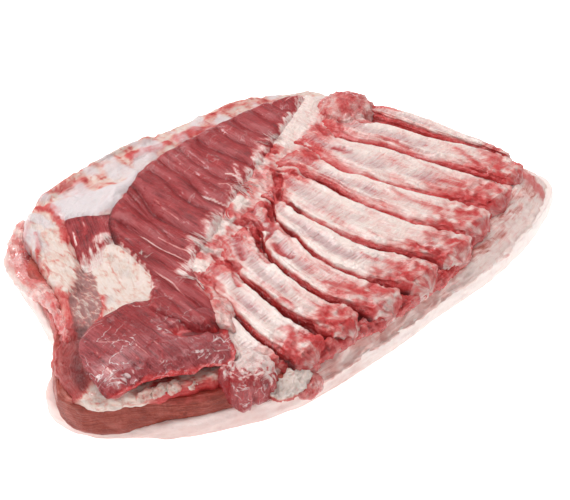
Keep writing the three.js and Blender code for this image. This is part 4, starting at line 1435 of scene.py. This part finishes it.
stain(slip, np.column_stack([x - 0.5 * y, y, z]),
      fat=frost, film=(0.4 + 0.3 * noise(places, 12, 93, 2)) * (1 - frost), blood=0.08 * (1 - frost),
      # painted shadow along the edge that lies beside the ridged muscle
      deep=0.75 * smoothstep(9, 1, depth_in) * smoothstep(-100, -92, x + 0.3 * (60 - y)))
hand_over(slip, LEAN, "inner_muscle", "muscle_slip")

# %% [markdown]
# ## Ragged seams
# Two rolls hide where pieces meet. One is the torn red flesh round the rib ends, which fills the feet of
# the gaps. The other is the lip of a pocket in the fat at the flank, where the sheet is folded over. Both are
# bars: the cylinder is laid along a path and shrinks to its middle at both ends, so that it stays closed.

# %% Bar
CAP_ROWS = 8
CAP_OUT = 6


def bar(name, path, around, coarse, fine, section):
    """A bar along a path of (x, y, z). section tells how far its skin lies to the side and up."""
    piece, turn, level, hub = drum(name, around, coarse, fine)
    line = spaced(path, LINE_POINTS)
    length = np.linalg.norm(np.diff(line, axis=0), axis=1).sum()
    along, over_start, over_end, full = capped(level, hub, length, CAP_ROWS, CAP_ROWS)
    stops = np.linspace(0, 1, LINE_POINTS)
    slope = np.gradient(line, axis=0)
    slope /= np.linalg.norm(slope, axis=1)[:, None]
    heading = read_off(along, stops, slope)
    place = read_off(along, stops, line) + heading * ((over_end - over_start) * CAP_OUT)[:, None]
    level_way = np.hypot(heading[:, 0], heading[:, 1])
    sideways = np.column_stack([-heading[:, 1], heading[:, 0], 0 * level]) / level_way[:, None]
    side, up = section(along, turn * 2 * np.pi)
    side, up = side * full, up * full
    places = place + sideways * side[:, None]
    places[:, 2] += up
    settle(piece, places)
    return piece, places, along, side, up


# %% Torn flesh at the rib ends
END_LENGTH = 300
END_LINE = [
    (-104, -98, 29), (-86, -111, 28), (-60, -113, 28), (-34, -117, 27), (0, -120, 26), (36, -121, 26),
    (66, -117, 27), (100, -106, 28), (134, -97, 28), (162, -84, 26), (176, -72, 24),
]


def ragged_section(along, angle):
    c, s = squarish(angle, 2.2)
    width = 6.0 + 2.2 * flat_noise(along * END_LENGTH, 0 * along, 13, 88, 3)
    full = rounded(np.minimum(along, 1 - along), 0.05)
    return width * c * full, 0.8 * width * s * full


ragged, places, along, side, up = bar("rib_end_tissue", END_LINE, 40, 15, 20, ragged_section)
bits = folds(places, 7, 101, 3)
amount = 2.6 * noise(places, 9, 102, 3) + 2.6 * (bits - 0.5) + 0.6 * noise(places, 3, 103, 2)
places = swell(ragged, places, amount)
stain(ragged, np.column_stack([side, along * END_LENGTH, up]),
      fat=0.12 + 0.55 * noise(places, 6, 104, 3) + 0.3 * (bits - 0.5), film=0.15,
      # painted shade between the torn bits
      blood=0.35 + 0.3 * noise(places, 8, 105, 2), deep=0.45 * smoothstep(0.45, 0.05, bits))
hand_over(ragged, GRISTLE, "rib_meat")

# %% Lip of the pocket
LIP_LENGTH = 140
LIP_LINE = [
    (-120, 117, 36), (-131, 111, 34), (-141, 101, 30), (-147, 88, 27), (-150, 74, 26), (-152, 60, 27),
    (-156, 46, 31), (-162, 30, 32), (-169, 12, 33), (-178, 0, 34),
]


def lip_section(along, angle):
    c, s = squarish(angle, 2.0)
    belly = smoothstep(0.05, 0.3, along) * smoothstep(0.65, 0.45, along)
    width = 4.6 + 1.2 * flat_noise(along * LIP_LENGTH, 0 * along, 14, 89, 2) - 1.4 * along
    full = rounded(np.minimum(along, 1 - along), 0.08)
    return (width + 5.5 * belly) * c * full, (width + 1.5 - 2.0 * belly) * s * full


lip, places, along, side, up = bar("pocket_lip", LIP_LINE, 40, 12, 12, lip_section)
belly = smoothstep(0.12, 0.28, along) * smoothstep(0.56, 0.44, along)
amount = 1.2 * noise(places, 9, 111, 3) + 1.6 * (folds(places, 6, 112, 3) - 0.4)
amount = (1 - 0.5 * belly) * (amount + 0.4 * noise(places, 2.6, 113, 2))
places = swell(lip, places, 2.2 * noise(places, 17, 110, 2) + amount)
rolled = 0.36 - 0.25 * smoothstep(-2, 6, side) + 0.5 * smoothstep(-3, -9, side)
lower_end = smoothstep(0.45, 0.7, along) * smoothstep(-0.2, 0.3, noise(places, 7, 115, 2))
stain(lip, np.column_stack([side, along * LIP_LENGTH, up]),
      fat=(0.66 + 0.5 * noise(places, 6, 114, 3) - 0.2 * smoothstep(0.5, 0.7, along)) * (1 - belly)
      + belly * (rolled + 0.2 * noise(places, 7, 116, 3)),
      film=0.3, blood=0.12 * (1 - belly) + 0.35 * lower_end,
      # painted shade inside the pocket
      deep=0.15 * belly + 0.6 * belly * smoothstep(2, 8, side))
hand_over(lip, GRISTLE, "soft_fat")

# %% [markdown]
# ## White feathers of tissue
# Where the sheets were pulled apart, white tissue stays behind, combed out over the muscle in thin
# feathers. Each one is a thin spindle with four sides. One is modelled, an Array modifier makes the rest, and
# every copy is then laid along its own short path on top of what lies under it. For that we look down from
# above on all the pieces made so far, and read their heights from a grid.

# %% Looking down on finished pieces
CELL = 2.0
GRID_CORNER = np.array([-230.0, -160.0])
GRID_SIZE = (230, 160)


def look_down(pieces):
    """The height of the highest piece over each cell of a grid."""
    grid = np.zeros(GRID_SIZE)
    for piece in pieces:
        places = read_places(piece) / MM
        column, row = ((places[:, :2] - GRID_CORNER) / CELL).astype(int).T
        np.maximum.at(grid, (column, row), places[:, 2])
    return grid


def around(grid, reach, join):
    """Joins each cell with the cells up to reach cells away, by np.maximum or np.add."""
    total = grid.copy()
    count = 1
    for across in range(-reach, reach + 1):
        for up in range(-reach, reach + 1):
            if 0 < across**2 + up**2 <= reach**2 + 1:
                total = join(total, np.roll(grid, (across, up), (0, 1)))
                count += 1
    return total / count if join is np.add else total


def height_at(grid, x, y):
    """The height between the middles of the four nearest cells."""
    u, v = (np.column_stack([x, y]) - GRID_CORNER).T / CELL - 0.5
    column, row = np.floor(u).astype(int), np.floor(v).astype(int)
    right, up = u - column, v - row
    return (grid[column, row] * (1 - right) * (1 - up) + grid[column + 1, row] * right * (1 - up)
            + grid[column, row + 1] * (1 - right) * up + grid[column + 1, row + 1] * right * up)


# %% Feathers
FEATHER_SIDES = 4
FEATHER_ROWS = 7
TUFT = 5
COMBS = [
    # how many, spread, length, heading in degrees, and the line that they start from
    (10, 5, 12, 95, (-94, -34), (-86, -20)), (20, 6, 16, 98, (-70, -10), (-56, -2)),
    (15, 6, 14, 102, (-50, -3), (-40, 4)), (10, 5, 10, 98, (-28, 8), (-20, 12)),
    (25, 6, 15, 104, (-2, 17), (18, 30)), (10, 6, 12, 112, (26, 34), (38, 40)),
    (10, 6, 13, 114, (46, 45), (60, 51)), (10, 5, 12, 120, (66, 50), (84, 55)),
    (10, 3, 7, 260, (-124, -88), (-114, -92)), (10, 5, 9, 85, (-118, 40), (-100, 44)),
    (15, 4, 8, 20, (-106, 6), (-102, 22)),
]


def lay_feathers(name, combs, seed):
    piece, turn, level, hub = drum(name, FEATHER_SIDES, FEATHER_ROWS, 1)
    copies = piece.modifiers.new("copies", "ARRAY")
    copies.count = sum(comb[0] for comb in combs)
    copies.use_relative_offset = False
    copies.use_constant_offset = True
    copies.constant_offset_displace = (0, 0, 2)
    bpy.ops.object.modifier_apply(modifier="copies")
    ground = around(around(look_down(MADE), 1, np.maximum), 1, np.add)
    draw = np.random.default_rng(seed)
    places = []
    for count, spread, length, heading, first, last in combs:
        for number in range(count):
            if number % TUFT == 0:
                start = np.asarray(first) + (np.asarray(last) - first) * draw.uniform()
                root = start + draw.normal(0, spread / 2, 2)
                tuft_turn = heading + draw.normal(0, 10)
                tuft_bend = draw.normal(0, 0.35)
            foot = root + draw.normal(0, 1.2, 2)
            turned = math.radians(tuft_turn + draw.normal(0, 5))
            bend = tuft_bend + draw.normal(0, 0.1)
            run = length * draw.uniform(0.35, 1.1) * level
            way = turned + bend * level
            x = foot[0] + run * np.cos(way)
            y = foot[1] + run * np.sin(way)
            z = height_at(ground, x, y) - 0.5 + 0.3 * level
            wide = draw.uniform(0.14, 0.36) * np.sqrt(np.clip(4 * (level + 0.02) * (1.02 - level), 0, 1))
            wide = np.where(hub, 0, wide * (1 - 0.6 * level))
            side = np.cos(turn * 2 * np.pi) * wide
            up = np.sin(turn * 2 * np.pi) * 0.35 * wide
            places.append(np.column_stack([x - np.sin(way) * side, y + np.cos(way) * side, z + up]))
    places = np.vstack(places)
    settle(piece, places)
    stain(piece, places, fat=1)
    return piece


hand_over(lay_feathers("feathers_piece", COMBS, 5), GRISTLE, "gristle")

# %% [markdown]
# ## Lumps
# Trimmed ends of muscle and fat lie at both ends of the slab. Each starts as a sphere made of even triangles,
# which has no poles. It is stretched, made a little square, and worked over with noise.

# %% Lump


def lump(name, centre, size, finish, slot, nodes, seed, rough, levels=6, square=0.9, upright=1, *, stains):
    bpy.ops.object.select_all(action="DESELECT")
    bpy.ops.mesh.primitive_ico_sphere_add(subdivisions=levels, radius=1)
    piece = bpy.context.object
    piece.name = piece.data.name = name
    ball = read_places(piece)
    ball = np.sign(ball) * np.abs(ball) ** square
    places = np.asarray(centre) + ball * np.asarray(size) / 2
    settle(piece, places)
    scale = min(size)
    drawn = places * (1, 1, upright)
    amount = scale * (0.09 * rough * noise(drawn, 0.5 * scale, seed, 3) + 0.03 * noise(drawn, 3, seed + 1, 3)
                      + 0.08 * rough * (folds(drawn, 0.4 * scale, seed + 2, 3) - 0.5))
    places = swell(piece, places, amount)
    grain = np.column_stack([places[:, 0] + places[:, 1], places[:, 2], places[:, 0] - places[:, 1]])
    stain(piece, grain, **stains(places, ball))
    hand_over(piece, finish, slot, *nodes)


# %% Lumps at the shoulder and the front
SHOULDER_RED = [(9, 1, (150, 60), (144, 50), (132, 42)), (7, 0.9, (154, 50), (148, 44))]


def shoulder_stains(p, b):
    red = strokes(p * (1, 1, 0), SHOULDER_RED, 205)
    return dict(fat=0.48 - 0.3 * red + 0.55 * noise(p, 8, 203, 3), film=0.4, blood=0.1 + 0.3 * red,
                deep=0.4 * smoothstep(-0.2, -0.8, b[:, 2]))


def front_lump_stains(p, b):
    frost = 1.1 * noise(p * (1, 1, 0.3), 3, 213, 3) + 0.7 * b[:, 0] + 0.8 * b[:, 2] + 0.3 * b[:, 1] - 0.15
    return dict(fat=0.15 + 0.95 * smoothstep(0.0, 0.6, frost), film=0.08, blood=0.25,
                deep=0.35 * smoothstep(0, -0.8, b[:, 2]))


def corner_stains(p, b):
    low = smoothstep(0.1, -0.45, b[:, 2] + 0.25 * b[:, 0] + 0.3 * noise(p, 7, 224, 3))
    creased = smoothstep(0.4, 0.0, folds(p, 8, 222, 3))
    return dict(fat=1.1 - 1.0 * low + 0.35 * noise(p, 6, 223, 3), film=-0.3, blood=0.6 * low + 0.45 * creased,
                deep=0.2 * low)


lump("shoulder_lump_piece", (139, 47, 38), (46, 44, 30), GRISTLE, "lean", ["shoulder_lump"], 201, 0.9,
     stains=shoulder_stains)
lump("front_lump_piece", (-122, -101, 32), (31, 27, 24), FLAP_LEAN, "lean", ["front_lump"], 211, 1.7,
     square=0.55, upright=0.3, stains=front_lump_stains)
lump("corner_lump_piece", (-101, -115, 24), (33, 18, 13), SOFT_FAT, "gristle", ["corner_lump"], 221, 1.7,
     square=0.95, stains=corner_stains)
lump("corner_tissue", (-91, -121, 19), (20, 16, 12), GRISTLE, "lean", [], 227, 1.2, 5, square=0.8,
     stains=lambda p, b: dict(fat=0.45 + 0.5 * noise(p, 6, 228, 3), film=0.1, blood=0.3))

# %% [markdown]
# ## Buttons of gristle
# Small pale buttons stand in a row under the torn edge of the flap. Each is the same lump at its own size.

# %% Gristle buttons under the flap
BUTTON_HEIGHT = 37
BUTTONS = [(-176, -70, 9), (-170, -72, 6), (-166, -73, 8), (-160, -77, 8), (-150, -82, 6)]


def button_stains(p, b):
    return dict(fat=0.68 + 0.5 * noise(p, 4, 230, 2), film=0.2,
                blood=0.1 + 0.5 * smoothstep(-0.1, -0.7, b[:, 2]))


draw = np.random.default_rng(9)
for number, (x, y, wide) in enumerate(BUTTONS):
    place = (x, y, BUTTON_HEIGHT + draw.uniform(-1, 1))
    size = (wide * 1.2, 6.5, wide * draw.uniform(0.6, 0.8))
    lump(f"gristle_button_{number + 1}", place, size, SOFT_FAT, "gristle", [], 231 + 3 * number, 2.2, 4,
         square=0.75, stains=button_stains)

# %% [markdown]
# ## Floor
# The slab lies on white card. The card glows a little, as card does in a bright room, so it stays white
# right up to the slab. It sits a hair below the skin, so that the two never share a surface.

# %% Floor
FLOOR_SIZE = 12
FLOOR_DROP = 0.0004
bpy.ops.object.select_all(action="DESELECT")
bpy.ops.mesh.primitive_plane_add(size=FLOOR_SIZE, location=(0, 0, -FLOOR_DROP))
floor = bpy.context.object
floor.name = "floor"
paper = Finish("white_paper")
paper.set(Base_Color=(0.93, 0.93, 0.93, 1), Roughness=0.6, Specular_IOR_Level=0.1,
          Emission_Color=(1, 1, 1, 1), Emission_Strength=0.7)
floor.data.materials.append(paper.material)
print("floor", FLOOR_SIZE, "m wide")

# %% [markdown]
# ## Pieces
# Last, the number of pieces made and the number of their faces are printed.

# %% Pieces, and the end
print(len(MADE), "pieces,", sum(len(piece.data.polygons) for piece in MADE), "faces")
